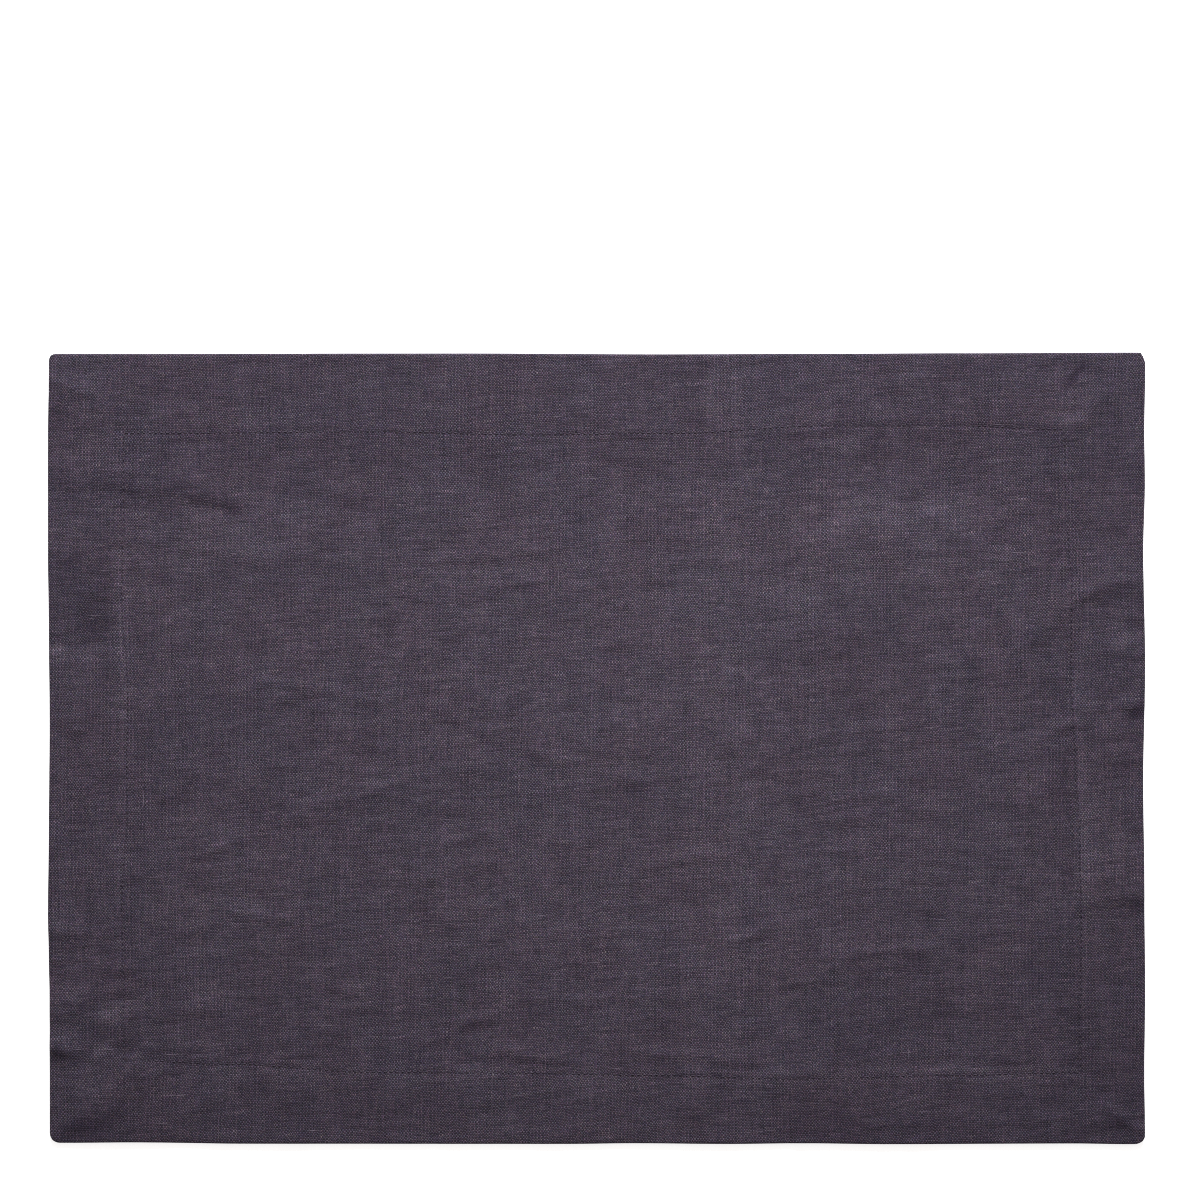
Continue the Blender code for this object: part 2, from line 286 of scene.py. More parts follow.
# Lines too fine for the solid: most have a gentle far flank and a steep near one
FINE_CREASES = (
    # Left hem: the long fold, the pressed edge under it, the puckers near the corner
    Crease(-0.2330, 0.1202, -2, 0.022, 0.0, 0.0030, 0.0016, 0.00060),
    Crease(-0.1870, 0.1150, -10, 0.024, 0.0006, 0.0034, 0.0018, 0.00075),
    Crease(-0.1950, 0.1120, -24, 0.012, 0.0, 0.0026, 0.0016, 0.00030),
    Crease(-0.2370, 0.0472, 4, 0.014, 0.0, 0.0050, 0.0018, -0.00055),
    Crease(-0.2330, 0.0900, 16, 0.012, 0.0, 0.0022, 0.0014, 0.00025),
    Crease(-0.2420, -0.0840, -8, 0.009, 0.0, 0.0034, 0.0026, 0.00040),
    Crease(-0.2210, -0.1000, -4, 0.012, 0.0, 0.0030, 0.0022, 0.00045),
    Crease(-0.2170, -0.1110, -6, 0.007, 0.0, 0.0030, 0.0022, 0.00035),
    Crease(-0.2250, -0.1400, 12, 0.005, 0.0, 0.0028, 0.0024, 0.00040),
    Crease(-0.2450, -0.1375, -3, 0.006, 0.0, 0.0034, 0.0020, 0.00050),
    Crease(-0.2170, -0.1330, 14, 0.007, 0.0, 0.0034, 0.0026, 0.00040),
    Crease(-0.2060, -0.1260, 30, 0.008, 0.0, 0.0026, 0.0014, 0.00035),
    # Right hem: the slanting fold, the two notches at the edge, the end of the swell
    Crease(0.2200, 0.0670, 30, 0.012, 0.0, 0.0060, 0.0016, 0.00055),
    Crease(0.2390, 0.0740, 8, 0.013, 0.0, 0.0060, 0.0016, 0.00060),
    Crease(0.2450, 0.0590, 0, 0.006, 0.0, 0.0024, 0.0014, 0.00060),
    Crease(0.2460, 0.0200, 4, 0.008, 0.0, 0.0030, 0.0024, 0.00100),
    Crease(0.2300, 0.0180, 10, 0.010, 0.0, 0.0022, 0.0016, 0.00025),
    Crease(0.2430, -0.0675, 2, 0.009, 0.0, 0.0040, 0.0024, 0.00034),
    Crease(0.2300, -0.1000, 20, 0.010, 0.0, 0.0022, 0.0016, 0.00025),
    # Panel, far half
    Crease(-0.0510, 0.0868, 6, 0.028, 0.0, 0.0034, 0.0020, 0.00070),
    Crease(-0.0290, 0.0750, 2, 0.009, 0.0, 0.0030, 0.0018, 0.00045),
    Crease(0.0610, 0.0830, -4, 0.021, 0.0014, 0.0036, 0.0022, 0.00060),
    Crease(0.0880, 0.0880, 44, 0.012, 0.0, 0.0024, 0.0026, 0.00030),
    Crease(0.1130, 0.1000, 18, 0.022, 0.0016, 0.0022, 0.0034, 0.00030),
    Crease(0.1600, 0.0980, -30, 0.018, 0.0016, 0.0024, 0.0030, 0.00030),
    Crease(0.0640, 0.1330, 46, 0.016, 0.0, 0.0024, 0.0018, 0.00035),
    Crease(0.1380, 0.1330, -36, 0.010, 0.0, 0.0020, 0.0016, 0.00035),
    Crease(-0.0850, 0.1300, -34, 0.013, 0.0, 0.0024, 0.0016, 0.00035),
    Crease(-0.1140, 0.1180, 28, 0.016, 0.0, 0.0024, 0.0018, 0.00030),
    Crease(-0.1980, 0.0950, 38, 0.016, 0.0, 0.0028, 0.0018, 0.00035),
    Crease(-0.1400, 0.0586, 1, 0.050, 0.0, 0.0024, 0.0016, 0.00028),
    Crease(-0.0150, 0.0580, 30, 0.018, 0.0, 0.0026, 0.0018, 0.00030),
    Crease(0.1510, 0.1240, 46, 0.014, 0.0, 0.0026, 0.0018, 0.00025),
    # Panel, middle
    Crease(-0.1230, 0.0250, -10, 0.034, 0.0006, 0.0030, 0.0018, 0.00045),
    Crease(-0.0590, 0.0110, -26, 0.025, 0.0, 0.0018, 0.0018, 0.00045),
    Crease(-0.0230, -0.0030, -14, 0.012, 0.0, 0.0034, 0.0018, 0.00046),
    Crease(0.0320, -0.0130, -4, 0.022, 0.0010, 0.0034, 0.0018, 0.00026),
    Crease(-0.0770, -0.0130, 13, 0.020, 0.0, 0.0036, 0.0014, 0.00036),
    Crease(-0.1120, -0.0240, 12, 0.018, 0.0006, 0.0036, 0.0014, 0.00030),
    Crease(-0.0720, -0.0270, -16, 0.018, 0.0004, 0.0036, 0.0016, 0.00024),
    Crease(0.0700, 0.0040, -38, 0.014, 0.0, 0.0024, 0.0018, 0.00030),
    Crease(0.1780, 0.0330, 14, 0.018, 0.0020, 0.0024, 0.0018, 0.00040),
    Crease(0.1960, 0.0480, 34, 0.020, 0.0, 0.0024, 0.0018, 0.00035),
    Crease(0.2060, 0.0060, 30, 0.014, 0.0, 0.0024, 0.0018, 0.00040),
    Crease(0.1250, 0.0080, 6, 0.024, 0.0, 0.0028, 0.0020, 0.00028),
    Crease(0.1160, -0.0330, 14, 0.010, 0.0, 0.0030, 0.0020, 0.00050),
    Crease(0.1400, -0.0390, -20, 0.010, 0.0, 0.0028, 0.0018, 0.00045),
    # Panel, near half
    Crease(-0.1720, -0.0480, 20, 0.016, 0.0030, 0.0026, 0.0018, 0.00045),
    Crease(-0.1560, -0.0740, -14, 0.018, -0.0030, 0.0026, 0.0020, 0.00040),
    Crease(-0.1780, -0.0800, 24, 0.014, 0.0, 0.0026, 0.0018, 0.00035),
    Crease(-0.0640, -0.0470, 20, 0.020, 0.0040, 0.0028, 0.0018, 0.00040),
    Crease(0.0420, -0.0520, 8, 0.018, 0.0020, 0.0026, 0.0018, 0.00035),
    Crease(0.1000, -0.1030, 22, 0.020, 0.0, 0.0024, 0.0016, 0.00050),
    Crease(0.1400, -0.0925, 6, 0.020, 0.0, 0.0026, 0.0016, 0.00060),
    Crease(0.0740, -0.0850, 18, 0.020, 0.0010, 0.0026, 0.0018, 0.00040),
    Crease(0.0080, -0.1150, 4, 0.030, 0.0, 0.0028, 0.0020, 0.00035),
    Crease(-0.0460, -0.1210, 26, 0.016, 0.0, 0.0026, 0.0018, 0.00035),
    Crease(-0.0660, -0.1290, 24, 0.016, 0.0, 0.0026, 0.0018, 0.00060),
    Crease(-0.0350, -0.1400, -8, 0.020, 0.0, 0.0024, 0.0014, 0.00050),
    Crease(0.0430, -0.1410, -4, 0.034, 0.0004, 0.0030, 0.0016, 0.00050),
    # The folded corners of the hem
    Crease(0.2240, 0.1530, 44, 0.026, 0.0, 0.0018, 0.0024, 0.00045),
    Crease(-0.2250, -0.1580, 42, 0.022, 0.0, 0.0020, 0.0020, 0.00045),
    Crease(-0.2160, -0.1580, 42, 0.016, 0.0, 0.0018, 0.0018, 0.00035),
    Crease(-0.2420, 0.1650, -20, 0.012, 0.0, 0.0026, 0.0018, 0.00060),
    Crease(-0.2440, 0.1550, -8, 0.008, 0.0, 0.0024, 0.0016, 0.00040),
    Crease(0.2390, -0.1690, -32, 0.014, 0.0, 0.0024, 0.0016, 0.00060),
    Crease(0.2300, -0.1600, -34, 0.012, 0.0, 0.0022, 0.0016, 0.00040),
)

CRUMPLES = (
    Crumple(0.0300, 1.2, 20, 0.00032, 11),
    Crumple(0.0140, 1.0, 24, 0.00019, 12),
    Crumple(0.0075, 1.0, 12, 0.00010, 13),
)

# Painted light and shade on the cloth: painted shade on the hem and the panel's border,
# painted light strips beside the stitches, and patches of painted light and shade
HEM_SHADE = 0.085
HEM_SHADE_STEP = (-0.002, 0.004)
BORDER_SHADE = 0.085
BORDER_REACH = 0.0260
STRIP_MIDDLE = -0.0026
STRIP_WIDTH = 0.0026
PATCH_CELL = 0.0080
PATCH_WANDER = 0.0020
PATCH_SEED = 65
PAINTED_LIGHT_AND_SHADE_PATCHES = (
    # The whole mat: painted light along its middle, painted shade at the edges and in one
    # corner
    PaintedPatch(0.0250, 0.0000, 0.1150, 0.2500, 0, 0.09),
    PaintedPatch(0.0560, 0.0100, 0.0150, 0.2000, 0, 0.08),
    PaintedPatch(0.0000, -0.1720, 0.2500, 0.0140, 0, -0.12),
    PaintedPatch(0.0000, -0.1300, 0.2700, 0.0450, 0, -0.06),
    PaintedPatch(0.2400, -0.1450, 0.0500, 0.0480, 0, -0.11),
    PaintedPatch(0.0000, 0.0580, 0.2700, 0.0300, 0, 0.045),
    PaintedPatch(0.0000, -0.0650, 0.2700, 0.0180, 0, 0.03),
    PaintedPatch(0.0000, 0.1500, 0.2700, 0.0320, 0, -0.04),
    PaintedPatch(0.0000, 0.1780, 0.2700, 0.0070, 0, -0.06),
    PaintedPatch(0.2460, 0.0400, 0.0100, 0.1600, 0, -0.06),
    # Left hem: painted light and shade of the long fold, painted shade on the block and a
    # painted light spot under it
    PaintedPatch(-0.2350, 0.1223, 0.0170, 0.0035, -2, -0.13),
    PaintedPatch(-0.1880, 0.1188, 0.0075, 0.0035, -14, -0.14),
    PaintedPatch(-0.1765, 0.1143, 0.0060, 0.0030, -20, -0.08),
    PaintedPatch(-0.1665, 0.1110, 0.0060, 0.0034, -25, -0.35),
    PaintedPatch(-0.2360, 0.0710, 0.0150, 0.0220, 0, -0.12),
    PaintedPatch(-0.2265, 0.0555, 0.0070, 0.0050, 0, -0.20),
    PaintedPatch(-0.2390, 0.0430, 0.0110, 0.0035, 4, 0.18),
    PaintedPatch(-0.2470, 0.0435, 0.0036, 0.0040, 0, 0.44),
    PaintedPatch(-0.2160, 0.0720, 0.0040, 0.0250, 0, 0.32),
    PaintedPatch(-0.2160, 0.0260, 0.0040, 0.0230, 0, 0.22),
    PaintedPatch(-0.2460, 0.1565, 0.0040, 0.0070, 0, -0.08),
    # Left hem: painted light and shade of the puckers near the corner
    PaintedPatch(-0.2405, -0.1125, 0.0050, 0.0035, 0, 0.10),
    PaintedPatch(-0.2195, -0.1200, 0.0066, 0.0040, 10, 0.60),
    PaintedPatch(-0.2170, -0.1140, 0.0070, 0.0025, 0, -0.18),
    PaintedPatch(-0.2250, -0.1375, 0.0038, 0.0034, 0, 0.36),
    PaintedPatch(-0.2150, -0.1345, 0.0055, 0.0040, 0, -0.05),
    PaintedPatch(-0.2460, -0.1400, 0.0036, 0.0036, 0, -0.35),
    PaintedPatch(-0.2430, -0.0880, 0.0070, 0.0030, -8, -0.10),
    PaintedPatch(-0.2450, -0.0800, 0.0052, 0.0034, 0, 0.12),
    # Right hem: painted light and shade of the fold, the notch and the swell, and painted
    # shade at its dark end
    PaintedPatch(0.2400, 0.0742, 0.0090, 0.0030, 6, -0.08),
    PaintedPatch(0.2425, 0.0490, 0.0070, 0.0042, 0, 0.30),
    PaintedPatch(0.2470, 0.0175, 0.0050, 0.0042, 0, -0.46),
    PaintedPatch(0.2330, -0.0450, 0.0160, 0.0230, 0, 0.17),
    PaintedPatch(0.2465, -0.0725, 0.0036, 0.0036, 0, -0.20),
    # The folded corners: their painted light and shade
    PaintedPatch(0.2155, 0.1500, 0.0058, 0.0036, 0, 0.26),
    PaintedPatch(0.2178, 0.1700, 0.0068, 0.0022, 48, -0.42),
    PaintedPatch(0.2070, 0.1443, 0.0062, 0.0024, 0, -0.28),
    PaintedPatch(0.2325, 0.1400, 0.0080, 0.0120, 0, -0.09),
    PaintedPatch(-0.2340, -0.1735, 0.0170, 0.0050, 18, -0.26),
    PaintedPatch(-0.2165, -0.1640, 0.0100, 0.0036, 25, -0.10),
    PaintedPatch(-0.2235, -0.1550, 0.0120, 0.0080, 40, 0.09),
    PaintedPatch(0.2390, -0.1705, 0.0058, 0.0028, -8, -0.24),
    PaintedPatch(0.2380, -0.1580, 0.0130, 0.0080, -20, -0.06),
    # Far hem: a light warp yarn or two
    PaintedPatch(0.0525, 0.1600, 0.0024, 0.0220, 0, 0.16),
    PaintedPatch(0.0630, 0.1570, 0.0018, 0.0200, 0, 0.14),
    # The panel: painted light on rises, painted shade in hollows
    PaintedPatch(0.1098, 0.1398, 0.0108, 0.0030, 0, 0.44),
    PaintedPatch(0.1350, 0.1060, 0.0360, 0.0100, -4, 0.20),
    PaintedPatch(0.0980, 0.0970, 0.0230, 0.0060, 14, 0.18),
    PaintedPatch(0.0620, 0.0980, 0.0160, 0.0080, 0, 0.10),
    PaintedPatch(0.1810, 0.0770, 0.0090, 0.0050, 0, 0.16),
    PaintedPatch(0.1350, 0.0840, 0.0380, 0.0080, -6, 0.22),
    PaintedPatch(0.1130, 0.0480, 0.0280, 0.0110, 0, -0.14),
    PaintedPatch(-0.1750, 0.0960, 0.0360, 0.0120, -4, 0.14),
    PaintedPatch(0.0100, 0.0080, 0.0500, 0.0140, 8, 0.05),
    PaintedPatch(-0.1800, -0.0700, 0.0130, 0.0050, -10, 0.20),
    PaintedPatch(-0.1100, -0.1090, 0.0090, 0.0040, 0, 0.18),
    PaintedPatch(-0.1760, -0.1150, 0.0090, 0.0050, 0, 0.18),
    PaintedPatch(0.1820, -0.0960, 0.0120, 0.0060, 0, 0.16),
    # Broad places of painted light and painted shade
    PaintedPatch(-0.2170, -0.0380, 0.0070, 0.0140, 0, 0.12),
    PaintedPatch(-0.2120, 0.0170, 0.0080, 0.0120, 0, 0.10),
    PaintedPatch(-0.1580, -0.0640, 0.0160, 0.0120, 0, 0.11),
    PaintedPatch(-0.1860, -0.1330, 0.0150, 0.0080, 0, 0.11),
    PaintedPatch(-0.1860, 0.0720, 0.0220, 0.0120, 0, 0.06),
    PaintedPatch(-0.1580, 0.1380, 0.0170, 0.0080, 0, 0.09),
    PaintedPatch(0.0280, 0.1400, 0.0180, 0.0080, 0, 0.10),
    PaintedPatch(0.0930, 0.0720, 0.0200, 0.0120, 0, 0.08),
    PaintedPatch(0.1290, -0.1330, 0.0250, 0.0110, 0, -0.10),
    PaintedPatch(0.1500, -0.0910, 0.0500, 0.0120, 0, -0.08),
    PaintedPatch(-0.0720, 0.1740, 0.0260, 0.0070, 0, 0.09),
    PaintedPatch(0.0560, 0.1710, 0.0080, 0.0120, 0, 0.08),
    PaintedPatch(-0.0800, -0.1740, 0.0900, 0.0080, 0, 0.08),
    PaintedPatch(0.0250, -0.1740, 0.0250, 0.0080, 0, 0.10),
    PaintedPatch(0.1180, -0.1740, 0.0400, 0.0090, 0, -0.13),
    PaintedPatch(-0.2250, -0.1730, 0.0300, 0.0070, 0, -0.09),
    # Painted light spots where the near hem rises from the stitches
    PaintedPatch(-0.1200, -0.1465, 0.0720, 0.0036, 0, 0.06),
    PaintedPatch(0.1560, -0.1465, 0.0400, 0.0024, 0, 0.34),
    PaintedPatch(-0.0050, -0.1500, 0.0080, 0.0070, 0, 0.16),
    PaintedPatch(-0.1420, -0.1462, 0.0220, 0.0018, 0, 0.10),
    PaintedPatch(-0.0460, -0.1464, 0.0250, 0.0018, 0, 0.26),
    PaintedPatch(0.0800, -0.1490, 0.0180, 0.0024, 0, 0.14),
    PaintedPatch(-0.0200, -0.1640, 0.0500, 0.0090, 0, 0.08),
)


def number_property(name, description, default, **kind):
    """A number, with its name in the panel and what it does."""
    return FloatProperty(name=name, description=description, default=default, **kind)


def length_property(name, description, default):
    """A length in metres."""
    return number_property(name, description, default, unit="LENGTH")


def factor_property(name, description, default):
    """A share or factor."""
    return number_property(name, description, default, subtype="FACTOR")


def colour_property(name, description, default):
    """A linear colour of red, green and blue."""
    return FloatVectorProperty(
        name=name, description=description, default=default, subtype="COLOR", size=3
    )


class PlacematCloth(PropertyGroup):
    """Sizes of the sewn sheet."""

    length: length_property("Length", "Finished length, along X", CAD_SIZE.x)
    width: length_property("Width", "Finished width, along Y", CAD_SIZE.y)
    layer: length_property("Layer", "Thickness of one layer of the cloth", 0.0006)
    rest: length_property(
        "Rest", "How far the slack panel stands off the surface, without its folds", 0.0006
    )
    hem_thickness: length_property("Hem thickness", "The three layers of the hem", 0.0018)
    hem_depth: length_property(
        "Hem depth", "Nominal depth, from the folded edge to the stitches", 0.0350
    )
    hem_tuck: length_property(
        "Hem tuck", "How far the turned cloth reaches past the stitches", 0.0028
    )
    raw_turn: length_property(
        "Raw turn", "Depth of the raw margin that is tucked into the hem", 0.0082
    )
    settle_reach: length_property(
        "Settle reach",
        "How far past the hem the panel is down from the hem's height",
        0.0150,
    )
    edge_drop: length_property(
        "Edge drop", "How far the face drops at once where the tucked cloth ends", 0.00024
    )
    edge_reach: length_property("Edge reach", "Length of that drop", 0.0024)
    groove_depth: length_property(
        "Groove depth", "How far the stitches pull the face down", 0.00014
    )
    groove_width: length_property("Groove width", "Half the width of that groove", 0.0007)
    puff: length_property(
        "Puff", "How far the cloth swells up on both sides of the stitches", 0.00022
    )
    pucker: length_property(
        "Pucker", "Height of the small puckers along the stitches", 0.00022
    )
    crumple: factor_property("Crumple", "How crumpled the washed cloth is", 1.0)
    hem_cell: length_property(
        "Hem cell", "Spacing of the surface's lines across the hem", 0.0019
    )
    long_cell: length_property(
        "Cell along X",
        "Spacing of the panel's lines along X, the way most creases run",
        0.0028,
    )
    cross_cell: length_property(
        "Cell along Y", "Spacing of the panel's lines along Y", 0.00165
    )


class PlacematWeave(PropertyGroup):
    """The yarns and their finish."""

    warp_pitch: length_property(
        "Warp pitch", "Spacing of the yarns that run along Y", 0.00063
    )
    weft_pitch: length_property(
        "Weft pitch", "Spacing of the yarns that run along X", 0.00076
    )
    weft_rise: number_property(
        "Weft rise",
        "How far the weft climbs to the right",
        np.radians(3.3),
        subtype="ANGLE",
    )
    warp_colour: colour_property(
        "Warp", "Colour of the warp yarns", (0.0324, 0.0197, 0.0318)
    )
    weft_colour: colour_property(
        "Weft", "Colour of the weft yarns", (0.0758, 0.0652, 0.0883)
    )
    slub_colour: colour_property(
        "Slub", "Colour of thick places in the yarn", (0.140, 0.112, 0.146)
    )
    slub_count: IntProperty(
        name="Slubs",
        description="Number of raised thick places in the yarns",
        default=240,
        min=1,
    )
    roughness: factor_property("Roughness", "Roughness of the yarns", 0.82)


class PlacematStitches(PropertyGroup):
    """The sewing of the hem."""

    pitch: length_property("Pitch", "Length of one stitch with its gap", 0.00267)
    share: factor_property("Share", "Part of the pitch that the thread covers", 0.62)
    thread: length_property("Thread", "Diameter of the sewing thread", 0.00036)
    colour: colour_property(
        "Thread colour", "Colour of the sewing thread", (0.060, 0.048, 0.068)
    )


class PlacematStage(PropertyGroup):
    """Floor, light and camera."""

    view_width: length_property(
        "View width", "Width of the floor that the camera takes in", 0.54715
    )
    view_x: length_property("View X", "Middle of the view along X", 0.00155)
    view_y: length_property("View Y", "Middle of the view along Y", 0.0676)
    lens: number_property("Lens", "Focal length in millimetres", 135.0)
    key_power: number_property(
        "Key light", "Power of the soft light at the far side, in watts", 56.5
    )
    key_colour: colour_property(
        "Key colour", "Colour of the soft light", (0.975, 0.99, 1.03)
    )
    room_light: number_property(
        "Room light", "Strength of the even light from all round", 0.45
    )
    room_colour: colour_property(
        "Room colour", "Colour of the even light", (1.04, 1.0, 0.965)
    )
    floor_colour: colour_property("Floor", "Colour of the plain floor", (0.90, 0.90, 0.90))
    floor_glow: number_property(
        "Floor glow", "Light of the white floor itself, which keeps it free of shadow", 0.6
    )


# Lines of the cloth's surface: round the rim, near the corners, beside the stitches
RIM_ANGLES = np.radians((0, 30, 60, 90))
CORNER_LINES = (0.0020, 0.0032, 0.0046)
GROOVE_LINES = (-0.0012, -0.0004, 0.0, 0.0004, 0.0012)
EDGE_LINES = (0.0, 0.0009, 0.0018, 0.0030)
HEM_MARGIN = 0.0150

# Inside of the hem: lines round the tucked edge, how many of the face's lines the
# underside skips, and where the slit under the face layer ends and how thin it is
TURN_ANGLES = np.radians((-30, 30))
UNDER_STEP = 3
POCKET_END = 0.0020
POCKET_GAP = 0.0001

# How much of a fold's height lifts the hem's underside, and how softly the cloth rests
HEM_LIFT = 0.35
TABLE_EASE = 0.0002

# How much more crumpled the near side is than the middle
CRUMPLE_LEAN = 0.16

# Broad unevenness, as in the solid, and the slow drift of the yarns
WAVE_HEIGHT = 0.00008
WAVE_LENGTHS = (0.170, 0.105, 0.061)
WAVE_HEADINGS = (1.1, 1.9, 2.7)
DRIFT_CELL = 0.090
DRIFT_SHIFT = 0.0030
DRIFT_SEED = 41

# Random small creases: how many, their sizes as (least, most), their angles as (mean,
# spread) and their heights as (shape, scale) of a gamma curve with an upper limit
SMALL_CREASES = 320
SMALL_CREASE_SEED = 21
SMALL_CREASE_WIDTHS = (0.0022, 0.0042)
SMALL_CREASE_NEAR_SHARES = (0.4, 0.8)
SMALL_CREASE_HALF_LENGTHS = (0.004, 0.015)
SMALL_CREASE_ANGLES = (8, 24)
SMALL_CREASE_BOW = 0.0012
SMALL_CREASE_HEIGHTS = (3.0, 0.00008)
SMALL_CREASE_MOST = 0.00042

# How every crease wanders, and how the fine ones come and go
NOISE_PERIOD = 64
WANDER_CELL = 0.0090
WANDER_REACH = 0.0018
WANDER_SEED = 61
FADE_CELL = 0.0110
FADE_SEED = 63
FADE_SHARE = 0.7

# Swells and puckers along the stitches, and how the drop at the tucked edge changes
PUFF_LENGTH = 0.0300
PUFF_WIDTH = 0.0018
PUFF_SEED = 32
PUFF_MEAN = 0.5
DROP_MEAN = 0.8
DROP_RANGE = (0.2, 1.5)
EDGE_WANDER = 0.0006
PUCKER_LENGTH = 0.0062
PUCKER_REACH = 0.0120
PUCKER_WIDTH = 0.0055
PUCKER_SEED = 31

# Stitches: how far the bow of thread drops at its ends and stands over the face, how
# little of it stands out of the back, and how deep it is sunk there
STITCH_FALL = 1.6
STITCH_RISE = 0.6
STITCH_BACK = 0.15
STITCH_SINK = 0.00005
STITCH_SIDES = 6
STITCH_FLATNESS = 0.85

# Slubs: the share along the warp, the spread of their angles and the least, the shape
# and the scale of their half lengths
SLUB_SEED = 51
SLUB_WARP_SHARE = 1 / 10
SLUB_TURN = np.radians(1.2)
SLUB_LEAST = 0.0010
SLUB_LENGTHS = (3.0, 0.0009)
SLUB_RADII = (0.00006, 0.00013)
SLUB_SPREAD = (-0.49, 0.49)
SLUB_MARGIN = 0.002
SLUB_RISE = 0.35
SLUB_SIDES = 5
SLUB_FLATNESS = 0.6


# --- Places and heights -------------------------------------------------------------


def eased(along, places):
    """Values along a side, joined by a smooth step from each place to the next."""
    steps = np.interp(along, [p.along for p in places], np.arange(len(places)))
    first = np.minimum(steps.astype(int), len(places) - 2)
    part = steps - first
    part = part * part * (3 - 2 * part)
    values = np.array([p.value for p in places])
    return values[first] * (1 - part) + values[first + 1] * part


def turn_corners(mat, x, y):
    """Draws each square corner in to its own curve, on lines that stay joined.

    Over the corner's reach the square (a, b) goes to a superellipse: a becomes
    a (1 - b^n / 2)^(1/n), and b likewise, where n is the corner's fullness.
    """
    for corner in CORNERS:
        start_x = mat.length / 2 - corner.reach_x
        start_y = mat.width / 2 - corner.reach_y
        a = np.clip((x * corner.side_x - start_x) / corner.reach_x, 0, 1)
        b = np.clip((y * corner.side_y - start_y) / corner.reach_y, 0, 1)
        power = corner.fullness
        less_x = a * ((1 - b**power / 2) ** (1 / power) - 1) * corner.reach_x
        less_y = b * ((1 - a**power / 2) ** (1 / power) - 1) * corner.reach_y
        x = x + corner.side_x * less_x
        y = y + corner.side_y * less_y
    return x, y


def side_shift(mat, inward, along, side, half):
    """Outward move of the places near one side, for its bow and its own hem depth."""
    rim_end = CORNER_LINES[-1]
    hem_start = mat.hem_depth + GROOVE_LINES[0]
    hem_end = mat.hem_depth + HEM_MARGIN
    rim_share = np.interp(inward, [rim_end, hem_start], [1, 0])
    hem_share = np.interp(inward, [rim_end, hem_start, hem_end, half], [0, 1, 1, 0])
    bow = eased(along, side.bow)
    deeper = eased(along, side.hem) - mat.hem_depth
    return rim_share * bow - hem_share * deeper


def real_places(mat, x, y):
    """Real places of plain ones: rounded corners, then the shifts of the four sides."""
    half_x, half_y = mat.length / 2, mat.width / 2
    right = side_shift(mat, half_x - x, y, RIGHT_SIDE, half_x) * (x > 0)
    left = side_shift(mat, half_x + x, y, LEFT_SIDE, half_x) * (x < 0)
    far = side_shift(mat, half_y - y, x, FAR_SIDE, half_y) * (y > 0)
    near = side_shift(mat, half_y + y, x, NEAR_SIDE, half_y) * (y < 0)
    x, y = turn_corners(mat, x, y)
    return x + right - left, y + far - near


def turned(x, y, angle):
    """Distances along and across a line at an angle in degrees from X."""
    turn = np.radians(angle)
    return x * np.cos(turn) + y * np.sin(turn), y * np.cos(turn) - x * np.sin(turn)


def crease_height(x, y, crease):
    """Height of one crease: a bell across it, fading along it, on a bowed line."""
    along, across = turned(x - crease.x, y - crease.y, crease.angle)
    share = along / crease.half_length
    across = across - crease.bow * (1 - share**2)
    width = np.where(across > 0, crease.far_width, crease.near_width)
    return crease.height * np.exp(-((across / width) ** 2) - share**4)


def slope_noise(x, y, seed):
    """Smooth random heights, about -1 to 1, on a lattice of whole numbers.

    Each lattice point has a random slope. A place takes the four planes with those
    slopes from the points round it, blended by 6t^5 - 15t^4 + 10t^3 along X and Y.
    """
    turns = np.random.default_rng(seed).uniform(0, 2 * np.pi, (NOISE_PERIOD,) * 2)
    column, row = np.floor(x).astype(int), np.floor(y).astype(int)
    part_x, part_y = x - column, y - row
    blend_x = part_x**3 * (part_x * (part_x * 6 - 15) + 10)
    blend_y = part_y**3 * (part_y * (part_y * 6 - 15) + 10)

    def plane(step_x, step_y):
        turn = turns[(row + step_y) % NOISE_PERIOD, (column + step_x) % NOISE_PERIOD]
        return np.cos(turn) * (part_x - step_x) + np.sin(turn) * (part_y - step_y)

    near = plane(0, 0) * (1 - blend_x) + plane(1, 0) * blend_x
    far = plane(0, 1) * (1 - blend_x) + plane(1, 1) * blend_x
    return (near * (1 - blend_y) + far * blend_y) * np.sqrt(2)


def crumple_height(x, y, crumple):
    """Random wrinkles of one size: smooth noise on a turned, stretched lattice."""
    along, across = turned(x, y, crumple.turn)
    cells_along = along / (crumple.cell * crumple.stretch)
    cells_across = across / crumple.cell
    return crumple.height * slope_noise(cells_along, cells_across, crumple.seed)


def small_creases(mat):
    """Short creases at random places, most of them near X, steep on the near flank.

    Their height is limited, so that no random crease looks like a fold.
    """
    random = np.random.default_rng(SMALL_CREASE_SEED)
    count = SMALL_CREASES
    widths = random.uniform(*SMALL_CREASE_WIDTHS, count)
    rows = zip(
        random.uniform(-0.5, 0.5, count) * mat.length,
        random.uniform(-0.5, 0.5, count) * mat.width,
        random.normal(*SMALL_CREASE_ANGLES, count),
        random.uniform(*SMALL_CREASE_HALF_LENGTHS, count),
        random.normal(0, SMALL_CREASE_BOW, count),
        widths,
        widths * random.uniform(*SMALL_CREASE_NEAR_SHARES, count),
        np.minimum(random.gamma(*SMALL_CREASE_HEIGHTS, count), SMALL_CREASE_MOST),
    )
    return [Crease(*row) for row in rows]


def wandered(x, y, cell, reach, seed):
    """Places moved by smooth noise, up to about reach, so that lines run unevenly."""
    shift_x = reach * slope_noise(x / cell, y / cell, seed)
    shift_y = reach * slope_noise(x / cell, y / cell, seed + 1)
    return x + shift_x, y + shift_y


